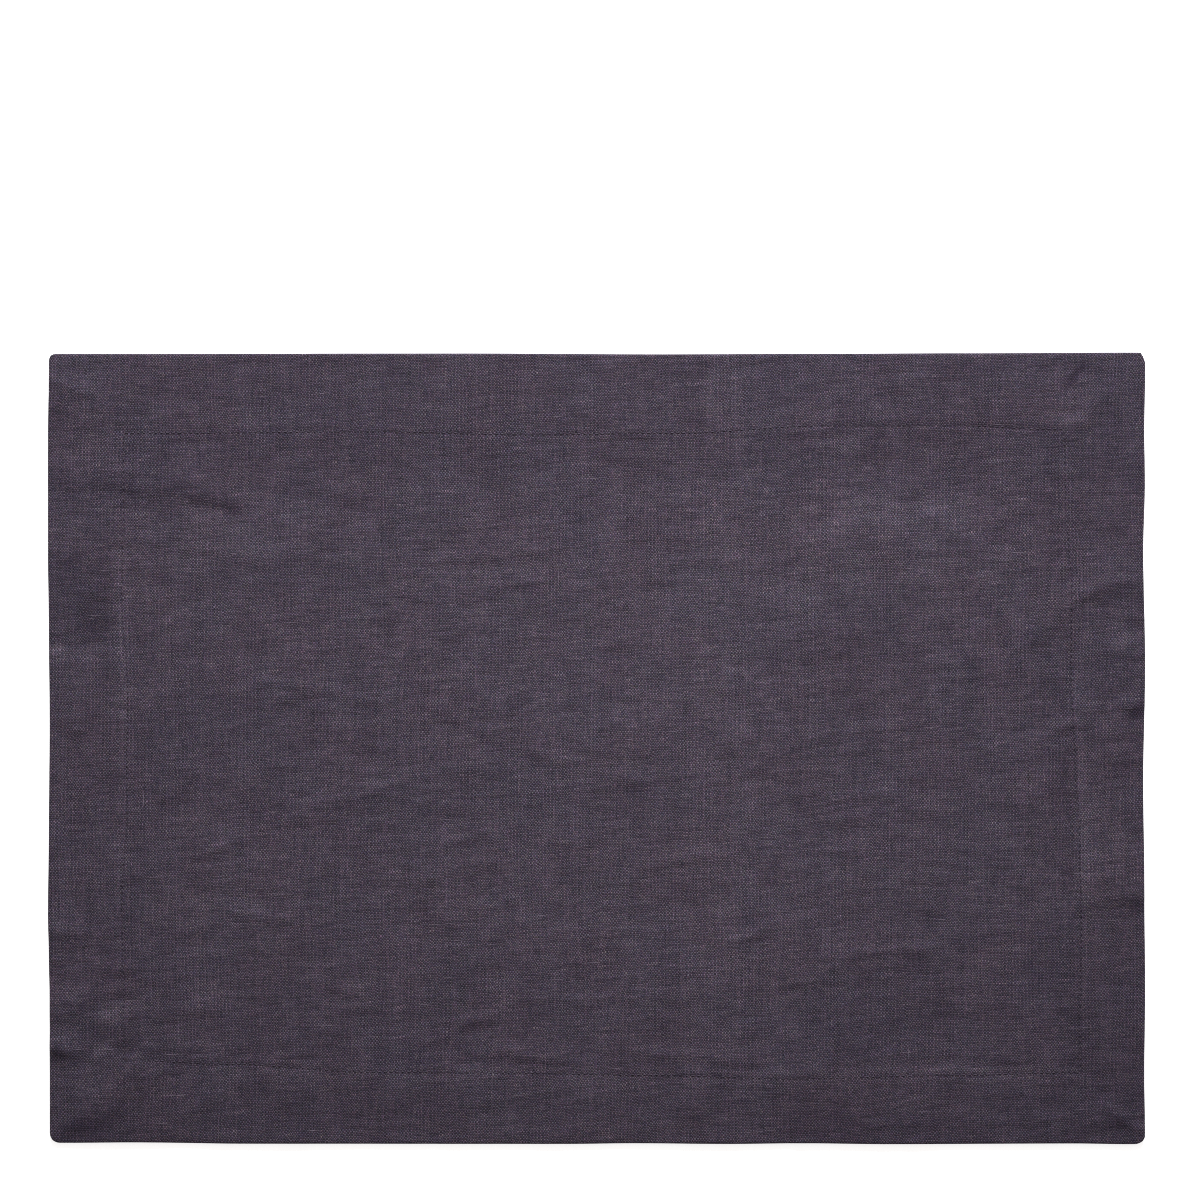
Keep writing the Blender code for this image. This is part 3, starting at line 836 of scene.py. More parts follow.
def by_side(mat, x, y, column):
    """A value of the side tables at some places, from the side that each is nearest."""
    on_long_side = mat.width / 2 - abs(y) < mat.length / 2 - abs(x)
    far, near, right, left = (
        eased(along, getattr(side, column))
        for along, side in ((x, FAR_SIDE), (x, NEAR_SIDE), (y, RIGHT_SIDE), (y, LEFT_SIDE))
    )
    return np.where(on_long_side, np.where(y > 0, far, near), np.where(x > 0, right, left))


def relief(mat, x, y):
    """Every crease and wrinkle, over a broad unevenness made of a few crossing waves.

    The creases wander from their lines, and the fine ones come and go along them. The
    small ones are higher towards the near side.
    """
    heights = 0
    crumple_share = mat.crumple * (1 - CRUMPLE_LEAN * y / (mat.width / 2))
    for length, heading in zip(WAVE_LENGTHS, WAVE_HEADINGS):
        turns = (x * np.cos(heading) + y * np.sin(heading)) / length
        heights = heights + WAVE_HEIGHT * (1 + np.sin(2 * np.pi * turns + heading))
    for crumple in CRUMPLES:
        heights = heights + crumple_share * crumple_height(x, y, crumple)
    fade = slope_noise(x / FADE_CELL, y / FADE_CELL, FADE_SEED)
    come_and_go = 1 + FADE_SHARE * fade
    x, y = wandered(x, y, WANDER_CELL, WANDER_REACH, WANDER_SEED)
    fine = sum(crease_height(x, y, row) for row in (*FINE_CREASES, *small_creases(mat)))
    broad = sum(crease_height(x, y, row) for row in CREASES)
    return heights + broad + crumple_share * come_and_go * fine


def bell(away, width):
    """1 in the middle, falling off to both sides as exp(-(away / width)^2)."""
    return np.exp(-((away / width) ** 2))


def smooth_step(start, end, value):
    """0 before start and 1 after end, with 3t^2 - 2t^3 between them."""
    part = np.clip((value - start) / (end - start), 0, 1)
    return part * part * (3 - 2 * part)


class Surface(NamedTuple):
    """The cloth at some plain places: its real places, and the heights of its layers."""

    x: np.ndarray
    y: np.ndarray
    inward: np.ndarray
    face: np.ndarray
    back: np.ndarray


def surface(mat, plain_x, plain_y):
    """Face and back of the hem, and the face of the panel, at plain places.

    The face is the hem's height, less a short drop where the tucked cloth ends and a
    long one to the panel (both smooth steps), less a bell-shaped groove at the
    stitches, plus the relief. It never goes through the surface below: its clearance
    c becomes (c + sqrt(c^2 + e^2)) / 2. At the rim both heights close to their middle
    on half an ellipse.
    """
    x, y = real_places(mat, plain_x, plain_y)
    inward_x = mat.length / 2 - abs(plain_x)
    inward_y = mat.width / 2 - abs(plain_y)
    inward = np.minimum(inward_x, inward_y)
    past_line = inward - mat.hem_depth
    along = np.where(inward_x < inward_y, y, x)
    wave = slope_noise(along / PUFF_LENGTH, past_line * 0, PUFF_SEED)
    past_edge = past_line - mat.hem_tuck + EDGE_WANDER * wave
    at_once = np.clip(DROP_MEAN + wave, *DROP_RANGE) * mat.edge_drop
    step = mat.hem_thickness - mat.layer - mat.rest - at_once
    drop = step * smooth_step(0, mat.settle_reach, past_edge)
    drop = drop + at_once * smooth_step(-mat.edge_reach / 2, mat.edge_reach / 2, past_edge)
    groove = mat.groove_depth * bell(past_line, mat.groove_width)
    puff = mat.puff * np.clip(PUFF_MEAN + wave, 0, 1)
    groove = groove + puff * bell(past_line, PUFF_WIDTH)
    groove = groove * by_side(mat, plain_x, plain_y, "bite")
    pucker = slope_noise(along / PUCKER_LENGTH, past_line / PUCKER_REACH, PUCKER_SEED)
    rise = relief(mat, x, y) + mat.pucker * pucker * bell(past_line, PUCKER_WIDTH)

    clear = mat.hem_thickness - drop - groove + rise - mat.layer
    clear = (clear + np.sqrt(clear**2 + TABLE_EASE**2)) / 2
    face = mat.layer + clear
    back = HEM_LIFT * np.maximum(rise, 0)

    fold = mat.hem_thickness / 2
    past_rim = np.clip(1 - inward / fold, 0, 1)
    round_share = np.sqrt(1 - past_rim**2)
    middle = (face + back) / 2
    face = middle + (face - middle) * round_share
    back = middle + (back - middle) * round_share
    return Surface(x, y, inward, face, back)


# --- Meshes ---------------------------------------------------------------------------


def lines_across(mat, side_length, cell):
    """Plain places of the surface's lines over one side, from rim to rim."""
    half = side_length / 2
    fold = mat.hem_thickness / 2
    hem_start = mat.hem_depth + GROOVE_LINES[0]
    tuck_end = mat.hem_depth + mat.hem_tuck
    hem_cells = round((hem_start - CORNER_LINES[-1]) / mat.hem_cell)
    panel_cells = round((half - tuck_end) / cell)
    inward = np.concatenate(
        [
            fold * (1 - np.cos(RIM_ANGLES)),
            CORNER_LINES[:-1],
            np.linspace(CORNER_LINES[-1], hem_start, hem_cells + 1)[:-1],
            mat.hem_depth + np.array(GROOVE_LINES),
            tuck_end + np.array(EDGE_LINES[:-1]),
            np.linspace(tuck_end + EDGE_LINES[-1], half, panel_cells + 1),
        ]
    )
    return np.concatenate([inward - half, (half - inward)[-2::-1]])


def line_number(mat, inward):
    """Number of the line that lies nearest to a place inward of the rim."""
    lines = lines_across(mat, mat.width, mat.cross_cell) + mat.width / 2
    return int(np.argmin(abs(lines[: len(lines) // 2] - inward)))


def ring_sides(ids, number):
    """The four sides of the numbered ring in a grid of point numbers.

    They run anticlockwise from the near left corner, each with both of its corners.
    """
    rows, columns = ids.shape
    span_x, span_y = slice(number, columns - number), slice(number, rows - number)
    return [
        ids[number, span_x],
        ids[span_y, -1 - number],
        ids[-1 - number, span_x][::-1],
        ids[span_y, number][::-1],
    ]


def band(outer, inner):
    """Triangles between two rings of four sides, and the side that each lies on.

    Where the outer side has more points, its spare ones fan to the inner corners.
    """
    triangles, sides = [], []
    for number, (out, ins) in enumerate(zip(outer, inner)):
        spare = (len(out) - len(ins)) // 2
        places = np.clip(np.arange(len(out)) - spare, 0, len(ins) - 1)
        facing = ins[places]
        first = np.stack([out[:-1], out[1:], facing[1:]], axis=-1)
        second = np.stack([out[:-1], facing[1:], facing[:-1]], axis=-1)
        second = second[facing[1:] != facing[:-1]]
        triangles += [first, second]
        sides.append(np.full(len(first) + len(second), number))
    return np.concatenate(triangles), np.concatenate(sides)


def grid_quads(ids):
    """The faces between the neighbouring lines of a grid of point numbers."""
    corners = [ids[:-1, :-1], ids[:-1, 1:], ids[1:, 1:], ids[1:, :-1]]
    return np.stack(corners, axis=-1).reshape(-1, 4)


def new_mesh(name, points, faces):
    """A smooth-shaded object at the origin from arrays of points and of faces."""
    mesh = bpy.data.meshes.new(name)
    rows = [face for group in faces for face in group.tolist()]
    mesh.from_pydata(points.reshape(-1, 3).tolist(), [], rows)
    mesh.shade_smooth()
    piece = bpy.data.objects.new(name, mesh)
    bpy.context.scene.collection.objects.link(piece)
    return piece


def set_map(mesh, name, places):
    """Writes one pair of map coordinates for each corner of each face."""
    layer = mesh.uv_layers.new(name=name)
    layer.uv.foreach_set("vector", places.astype(np.float32).ravel())


def set_attribute(mesh, name, values):
    """Writes one number for each point, for a material to read by name."""
    attribute = mesh.attributes.new(name, "FLOAT", "POINT")
    attribute.data.foreach_set("value", values.astype(np.float32))


def past_flat(mat, inward):
    """Extra length of the cloth round the rim's bend, past its flat outline.

    On a half circle of radius r, at the angle p from the rim, it is
    r (pi/2 - p - cos p).
    """
    fold = mat.hem_thickness / 2
    angle = np.arccos(np.clip(1 - inward / fold, 0, 1))
    return fold * (np.pi / 2 - angle - np.cos(angle))


def yarn_counts(weave, x, y):
    """Numbers of the warp and weft yarns at a place of the spread-out cloth.

    The weft climbs to the right, and both drift a little from place to place, the warp
    half as far as the weft.
    """
    cells_x, cells_y = x / DRIFT_CELL, y / DRIFT_CELL
    drift_x = slope_noise(cells_x, cells_y, DRIFT_SEED) * DRIFT_SHIFT * 0.5
    drift_y = slope_noise(cells_x, cells_y, DRIFT_SEED + 1) * DRIFT_SHIFT
    climb = x * np.tan(weave.weft_rise)
    return np.stack(
        [(x + drift_x) / weave.warp_pitch, (y - climb + drift_y) / weave.weft_pitch],
        axis=-1,
    )


def painted_light_and_shade_at(mat, x, y, inward):
    """Painted light and shade on the cloth: painted shade on the hem and the panel's
    border, painted light strips beside the stitches, and patches of painted light and
    shade.

    The border is a bell from the hem inwards. A patch falls off as
    exp(-|a|^3 - |b|^3) along its two halves, at places that wander a little.
    """
    past_line = inward - mat.hem_depth
    in_hem = 1 - smooth_step(*HEM_SHADE_STEP, past_line)
    border = (1 - in_hem) * bell(past_line, BORDER_REACH)
    tone = 1 - HEM_SHADE * in_hem - BORDER_SHADE * border
    strip = bell(past_line - STRIP_MIDDLE, STRIP_WIDTH)
    tone = tone + by_side(mat, x, y, "strip") * strip
    x, y = wandered(x, y, PATCH_CELL, PATCH_WANDER, PATCH_SEED)
    for patch in PAINTED_LIGHT_AND_SHADE_PATCHES:
        along, across = turned(x - patch.x, y - patch.y, patch.angle)
        away = abs(along / patch.half_x) ** 3 + abs(across / patch.half_y) ** 3
        tone = tone + patch.change * np.exp(-away)
    return tone


def stitch_counts(mat, sewing, x, y):
    """Number of stitches from the start of the nearest side to each plain place."""
    reach_x = mat.length / 2 - mat.hem_depth
    reach_y = mat.width / 2 - mat.hem_depth
    on_long_side = mat.width / 2 - abs(y) < mat.length / 2 - abs(x)
    count_x, count_y = (round(2 * reach / sewing.pitch) for reach in (reach_x, reach_y))
    along_x = (x + reach_x) * count_x / (2 * reach_x)
    along_y = (y + reach_y) * count_y / (2 * reach_y)
    return np.where(on_long_side, along_x, along_y)


def build_cloth(mat, weave, sewing):
    """The whole sheet as one closed mesh, with its margins folded in.

    The face is a grid. Rings of the same grid make the turned hem's underside, its
    rounded inner edge, the slit between it and the face layer, and the back of the
    panel closes the sheet. The raw margin inside the hem has no surface of its own:
    the turned part is two layers thick over its whole depth.
    """
    grid_x, grid_y = np.meshgrid(
        lines_across(mat, mat.length, mat.long_cell),
        lines_across(mat, mat.width, mat.cross_cell),
    )
    skin = surface(mat, grid_x, grid_y)
    rows, columns = grid_x.shape
    stitch_line = line_number(mat, mat.hem_depth)
    tuck_line = line_number(mat, mat.hem_depth + mat.hem_tuck)
    end_line = line_number(mat, POCKET_END)
    middle_line = (end_line + stitch_line) // 2
    under_lines = [*range(end_line), *range(end_line, tuck_line, UNDER_STEP), tuck_line]

    points, plain = [], []
    count = 0

    def add(x, y, z, plain_x, plain_y):
        """Adds points, and returns their numbers in the shape of the given arrays."""
        nonlocal count
        ids = count + np.arange(x.size).reshape(x.shape)
        count += x.size
        points.append(np.stack([x, y, z], axis=-1).reshape(-1, 3))
        plain.append(np.stack([plain_x, plain_y], axis=-1).reshape(-1, 2))
        return ids

    face_ids = add(skin.x, skin.y, skin.face, grid_x, grid_y)

    # Underside of the turned hem: it shares the rim's points with the face
    ring_number = np.minimum.outer(
        np.minimum(np.arange(rows), np.arange(rows)[::-1]),
        np.minimum(np.arange(columns), np.arange(columns)[::-1]),
    )
    turned = np.isin(ring_number, under_lines[1:])
    under_ids = np.where(ring_number == 0, face_ids, -1)
    under_ids[turned] = add(
        skin.x[turned], skin.y[turned], skin.back[turned], grid_x[turned], grid_y[turned]
    )
    quads = [grid_quads(face_ids)]
    triangles, sides = [], []

    def join(outer, inner, faces_up, is_turned):
        """Adds the band between two rings, facing up or down."""
        new, side = band(outer, inner)
        triangles.append(new if faces_up else new[:, ::-1])
        sides.append(np.where(is_turned, side, -1))

    for number, after in zip(under_lines, under_lines[1:]):
        join(ring_sides(under_ids, number), ring_sides(under_ids, after), False, True)

    # Heights inside the hem: the top of the turned layers, and the face layer's back
    layer_back = skin.face - mat.layer
    full_pair = mat.hem_thickness - mat.layer - POCKET_GAP
    pair_top = np.minimum(skin.back + full_pair, layer_back - POCKET_GAP)

    def add_ring(number, heights, past=0.0):
        """Adds one ring of the grid at other heights, moved inward by past."""
        found = []
        for line in ring_sides(face_ids, number):
            row, column = np.divmod(line, columns)
            reach_x = mat.length / 2 - skin.inward[number, columns // 2] - past
            reach_y = mat.width / 2 - skin.inward[number, columns // 2] - past
            plain_x = np.clip(grid_x[row, column], -reach_x, reach_x)
            plain_y = np.clip(grid_y[row, column], -reach_y, reach_y)
            x, y = real_places(mat, plain_x, plain_y)
            found.append((x, y, heights[row, column], plain_x, plain_y))
        ids = []
        for x, y, z, plain_x, plain_y in found:
            ids.append(add(x[:-1], y[:-1], z[:-1], plain_x[:-1], plain_y[:-1]))
        following = ids[1:] + ids[:1]
        return [np.append(line, after[0]) for line, after in zip(ids, following)]

    # The turned edge is half a circle in section
    edge = ring_sides(under_ids, tuck_line)
    bulge = full_pair / 2
    for angle in TURN_ANGLES:
        share = (1 + np.sin(angle)) / 2
        heights = skin.back + (pair_top - skin.back) * share
        ring = add_ring(tuck_line, heights, bulge * np.cos(angle))
        join(edge, ring, False, True)
        edge = ring
    for number in (tuck_line, stitch_line, middle_line, end_line):
        ring = add_ring(number, pair_top)
        if number == tuck_line:
            join(edge, ring, False, True)
        else:
            join(ring, edge, True, True)
        edge = ring

    # The face layer's back, from the slit's end to the panel
    ring = add_ring(end_line, layer_back)
    join(edge, ring, False, True)
    edge = ring
    for number in (middle_line, stitch_line):
        ring = add_ring(number, layer_back)
        join(edge, ring, False, False)
        edge = ring
    inner = (slice(tuck_line, rows - tuck_line), slice(tuck_line, columns - tuck_line))
    panel_ids = add(
        skin.x[inner], skin.y[inner], layer_back[inner], grid_x[inner], grid_y[inner]
    )
    join(edge, ring_sides(panel_ids, 0), False, False)
    quads.append(grid_quads(panel_ids)[:, ::-1])

    points = np.concatenate(points)
    plain = np.concatenate(plain)
    four_sided = np.concatenate(quads)
    three_sided = np.concatenate(triangles)
    piece = new_mesh("linen_cloth", points, [four_sided, three_sided])

    # Map: the cloth spread out flat, with each turned margin mirrored at its rim
    half = np.array([mat.length / 2, mat.width / 2])
    inward = half - abs(plain)
    spread = points[:, :2] + np.sign(plain) * past_flat(mat, inward)
    corner_ids = np.concatenate([four_sided.ravel(), three_sided.ravel()])
    side_of_corner = np.concatenate(
        [np.full(four_sided.size, -1), np.repeat(np.concatenate(sides), 3)]
    )
    places = spread[corner_ids]
    rim = half + past_flat(mat, 0.0)
    for side, (axis, sign) in enumerate(((1, -1), (0, 1), (1, 1), (0, -1))):
        on_side = side_of_corner == side
        places[on_side, axis] = 2 * sign * rim[axis] - places[on_side, axis]
    set_map(piece.data, WEAVE_MAP, yarn_counts(weave, places[:, 0], places[:, 1]))

    inward = inward.min(axis=1)
    # The tone attribute is painted light and shade; bite and edge set how strong the
    # painted shade is in the needle holes and in the band beside the tucked edge
    set_attribute(piece.data, "tone", painted_light_and_shade_at(mat, points[:, 0], points[:, 1], inward))
    set_attribute(piece.data, "past_line", inward - mat.hem_depth)
    for column in ("bite", "edge"):
        set_attribute(piece.data, column, by_side(mat, plain[:, 0], plain[:, 1], column))
    counts = stitch_counts(mat, sewing, plain[:, 0], plain[:, 1])
    set_attribute(piece.data, "stitch", counts)
    return piece


def strands(name, centres, radii, sides, flatness):
    """Many short closed strands in one mesh, from a centre line and radii for each.

    centres is an array of strands by rings by 3. Each ring is an ellipse across its
    line: radius times (cos a sideways + flatness sin a upward). The first and last
    rings close to a single point.
    """
    count, rings = radii.shape
    ahead = np.gradient(centres, axis=1)
    ahead = ahead / np.linalg.norm(ahead, axis=-1, keepdims=True)
    sideways = np.stack([ahead[..., 1], -ahead[..., 0], 0 * ahead[..., 0]], axis=-1)
    sideways = sideways / np.linalg.norm(sideways, axis=-1, keepdims=True)
    upward = np.cross(sideways, ahead)
    angle = 2 * np.pi * np.arange(sides) / sides
    spoke = (
        sideways[:, :, None] * np.cos(angle)[:, None]
        + upward[:, :, None] * np.sin(angle)[:, None] * flatness
    )
    body = centres[:, :, None] + spoke * radii[:, :, None, None]
    body = body[:, 1:-1].reshape(count, -1, 3)
    points = np.concatenate([body, centres[:, :1], centres[:, -1:]], axis=1)

    ids = np.arange((rings - 2) * sides).reshape(rings - 2, sides)
    after = np.roll(ids, -1, axis=1)
    walls = np.stack([ids[:-1], after[:-1], after[1:], ids[1:]], axis=-1).reshape(-1, 4)
    start = np.full(sides, (rings - 2) * sides)
    first = np.stack([after[0], ids[0], start], axis=-1)
    last = np.stack([ids[-1], after[-1], start + 1], axis=-1)
    shift = np.arange(count)[:, None, None] * points.shape[1]
    walls = (walls[None] + shift).reshape(-1, 4)
    ends = (np.concatenate([first, last])[None] + shift).reshape(-1, 3)
    return new_mesh(name, points, [walls, ends])


def build_stitches(mat, sewing):
    """The hem's stitches on the face and on the back, as one mesh of short strands.

    Each is a bow of thread along the hem line: its height over the cloth is
    1 - 1.6 s^4 of the thread, and its radius is sqrt(1 - s^6), with s from -1 to 1.
    """
    reach_x = mat.length / 2 - mat.hem_depth
    reach_y = mat.width / 2 - mat.hem_depth
    corners = np.array(
        [(-reach_x, -reach_y), (reach_x, -reach_y), (reach_x, reach_y), (-reach_x, reach_y)]
    )
    share = np.linspace(-1, 1, 7)
    plain = []
    for start, end in zip(corners, np.roll(corners, -1, axis=0)):
        length = np.linalg.norm(end - start)
        count = round(length / sewing.pitch)
        middles = (np.arange(count) + 0.5) / count
        reach = sewing.share * sewing.pitch / 2 / length
        along = middles[:, None] + share * reach
        plain.append(start + (end - start) * along[..., None])
    plain = np.concatenate(plain)
    skin = surface(mat, plain[..., 0], plain[..., 1])
    bow = sewing.thread * (1 - STITCH_FALL * share**4)
    face, back = skin.face + bow * STITCH_RISE, skin.back - bow * STITCH_BACK + STITCH_SINK
    on_face = np.stack([skin.x, skin.y, face], axis=-1)
    on_back = np.stack([skin.x, skin.y, back], axis=-1)
    centres = np.concatenate([on_face, on_back])
    radius = sewing.thread / 2 * np.sqrt(1 - share**6)
    radii = np.tile(radius, (len(centres), 1))
    return strands("hem_stitches", centres, radii, STITCH_SIDES, STITCH_FLATNESS)


def build_slubs(mat, weave):
    """Thick places that stand up in the yarns, as one mesh of thin spindles.

    Most lie along the weft, which climbs to the right, and one in ten along the warp.
    The radius falls from the middle as 1 - s^2, with s from -1 to 1.
    """
    random = np.random.default_rng(SLUB_SEED)
    count = weave.slub_count
    share = np.linspace(-1, 1, 9)
    along_warp = random.random(count) < SLUB_WARP_SHARE
    turn = np.where(along_warp, np.pi / 2, weave.weft_rise)
    turn = turn + random.normal(0, SLUB_TURN, count)
    half_length = random.gamma(*SLUB_LENGTHS, count) + SLUB_LEAST
    middle_x = random.uniform(*SLUB_SPREAD, count) * mat.length
    middle_y = random.uniform(*SLUB_SPREAD, count) * mat.width
    limit_x, limit_y = mat.length / 2 - SLUB_MARGIN, mat.width / 2 - SLUB_MARGIN
    plain_x = middle_x[:, None] + share * (half_length * np.cos(turn))[:, None]
    plain_y = middle_y[:, None] + share * (half_length * np.sin(turn))[:, None]
    plain_x = np.clip(plain_x, -limit_x, limit_x)
    plain_y = np.clip(plain_y, -limit_y, limit_y)
    skin = surface(mat, plain_x, plain_y)
    radius = random.uniform(*SLUB_RADII, count)
    radii = radius[:, None] * (1 - share**2)
    centres = np.stack([skin.x, skin.y, skin.face + radii * SLUB_RISE], axis=-1)
    return strands("slub_yarns", centres, radii, SLUB_SIDES, SLUB_FLATNESS)


# --- Materials ------------------------------------------------------------------------


class Shader:
    """A material's node tree, with short ways to add the nodes used here."""

    def __init__(self, name):
        self.material = bpy.data.materials.new(name)
        self.material.use_nodes = True
        self.nodes = self.material.node_tree.nodes
        self.links = self.material.node_tree.links

    def put(self, value, socket):
        """Links a socket to an input, or sets the input to a number or colour."""
        if isinstance(value, bpy.types.NodeSocket):
            self.links.new(value, socket)
        else:
            socket.default_value = value

    def fill(self, node, inputs):
        """Puts values into a node's inputs, which go by name or by number."""
        for key, value in inputs.items():
            self.put(value, node.inputs[key])

    def node(self, kind, inputs=None, **settings):
        """Adds one node of a kind, with its settings and its inputs."""
        node = self.nodes.new(f"ShaderNode{kind}")
        for name, value in settings.items():
            setattr(node, name, value)
        self.fill(node, inputs or {})
        return node

    def finish(self, inputs):
        """Fills the inputs of the material's own shader, and gives the material."""
        self.fill(self.nodes["Principled BSDF"], inputs)
        return self.material

    def math(self, operation, *values):
        return self.node("Math", dict(enumerate(values)), operation=operation).outputs[0]

    def add(self, *values):
        return reduce(lambda total, value: self.math("ADD", total, value), values)

    def times(self, *values):
        return reduce(lambda total, value: self.math("MULTIPLY", total, value), values)

    def pair(self, x, y):
        return self.node("CombineXYZ", {0: x, 1: y}).outputs[0]

    def attribute(self, name):
        return self.node("Attribute", attribute_name=name).outputs["Fac"]

    def bell(self, value, middle, width):
        """1 at the middle, falling off to both sides as exp(-(d / width)^2)."""
        away = self.times(self.add(value, -middle), 1 / width)
        return self.math("EXPONENT", self.times(away, away, -1.0))

    def noise(self, vector, scale, detail=2.0):
        """Smooth noise over a pair of numbers: its value, and its three colours."""
        inputs = {"Vector": vector, "Scale": scale, "Detail": detail}
        return self.node("TexNoise", inputs, noise_dimensions="2D").outputs

    def chance(self, number):
        """A random value from 0 to 1 for each whole number."""
        found = self.node("TexWhiteNoise", {"W": number}, noise_dimensions="1D")
        return found.outputs["Value"]

    def remap(self, value, low, high, to_low, to_high):
        """A smooth step from to_low, at low, up to to_high, at high."""
        limits = {"From Min": low, "From Max": high, "To Min": to_low, "To Max": to_high}
        inputs = {"Value": value, **limits}
        found = self.node("MapRange", inputs, interpolation_type="SMOOTHSTEP")
        return found.outputs["Result"]

    def mix(self, share, first, second, blend="MIX"):
        """Two colours mixed. Inputs 6 and 7 of the node are its two colours."""
        inputs = {"Factor": share, 6: first, 7: second}
        return self.node("Mix", inputs, data_type="RGBA", blend_type=blend).outputs[2]

    def scaled(self, colour, amount):
        """A colour made lighter or darker by an amount."""
        inputs = {0: colour, "Scale": amount}
        return self.node("VectorMath", inputs, operation="SCALE").outputs[0]

    def bump(self, height, distance, inputs=None):
        """Relief as tall as the distance, where the height changes by 1."""
        found = {"Height": height, "Distance": distance, **(inputs or {})}
        return self.node("Bump", found).outputs[0]

    def object_place(self):
        return self.node("TexCoord").outputs["Object"]


class YarnLook(NamedTuple):
    """How unevenly one set of yarns is spun and dyed.

    The width is that of its thin places, as a share of the pitch. A yarn gets lighter
    and darker by streak at the rate of along, per yarn that it crosses, and differs
    from its neighbours by single, which changes at the rate of slow.
    """

    width: float
    along: float
    streak: float
    slow: float
    single: float


WARP_LOOK = YarnLook(0.52, 0.075, 0.24, 0.018, 0.30)
WEFT_LOOK = YarnLook(0.70, 0.060, 0.10, 0.022, 0.15)

# Slubs in the weft: where the yarn's thickness starts them, and how strongly they show
SLUB_STARTS = (0.70, 0.80)
SLUB_MIX = 0.8

# How much the crossings differ from each other in tone and in tint
CROSSING_CHANGE = 0.25
CROSSING_TINT = 0.10

# Height of a yarn: its wave over and under the others, its round section, and how much
# its quick and its slow unevenness widen it
YARN_WAVE = 0.42
YARN_ROUND = 0.6
YARN_SWELL = (0.5, 0.2)

# The middle of the noise's values, over which the slower changes are spread
NOISE_MIDDLE = (0.35, 0.65)

# Rates of the noises, per yarn, and how many yarns the yarns wander sideways
WANDER_RATE = 0.11
WANDER_YARNS = 2.2
HUE_RATE = 0.02
FIBRE_RATE = 3.1
CLOUD_RATE = 0.05
HOLE_RATE = 0.30
REED_RATES = (0.05, 0.012)

# Rows of the noise, so that no two yarns share one: their spread, the first row for the
# weft, and the step from the quick unevenness to the slow one
NOISE_ROWS = 997.0
WEFT_ROW = 4000.5
SLOW_ROW = 0.5

# Relief in the material: the yarns, and the fine crumples under them
YARN_RELIEF = 0.00016
CRUMPLE_RELIEF = 0.00022
CRUMPLE_RATES = (0.11, 0.15, 1.0)
RELIEF_SHARE = {"Strength": 0.8}

# Lines that the loom's reed leaves between groups of warp yarns
REED_YARNS = 2.5
REED_CHANGE = 0.20

# Painted shade in the needle holes between the stitches, and the band of painted shade
# beside the tucked edge
HOLE_WIDTH = 0.00042
HOLE_SHADE = 0.80
BAND_MIDDLE = 0.0045
BAND_WIDTH = 0.0020
BAND_SHADE = 0.11

# The cloth's tint: from place to place, then in its dark places, between, and in its light
# ones, which are mostly painted shade and painted light
RED_TINT = (1.020, 0.995, 0.994, 1.0)
BLUE_TINT = (0.980, 1.003, 1.008, 1.0)
PAINTED_SHADE_TINT = (1.20, 1.0, 1.38, 1.0)
MIDDLE_TINT = (1.015, 1.0, 1.035, 1.0)
PAINTED_LIGHT_TINT = (0.972, 1.0, 0.940, 1.0)


# Thread and floor: rates of the plies, of their patches and of the grain, per metre
PLY_RATE = 1100.0
PLY_UNEVEN = 1.5
PLY_RELIEF = 0.00005
FLUFF_RATE = 420.0
GRAIN_RATE = 900.0


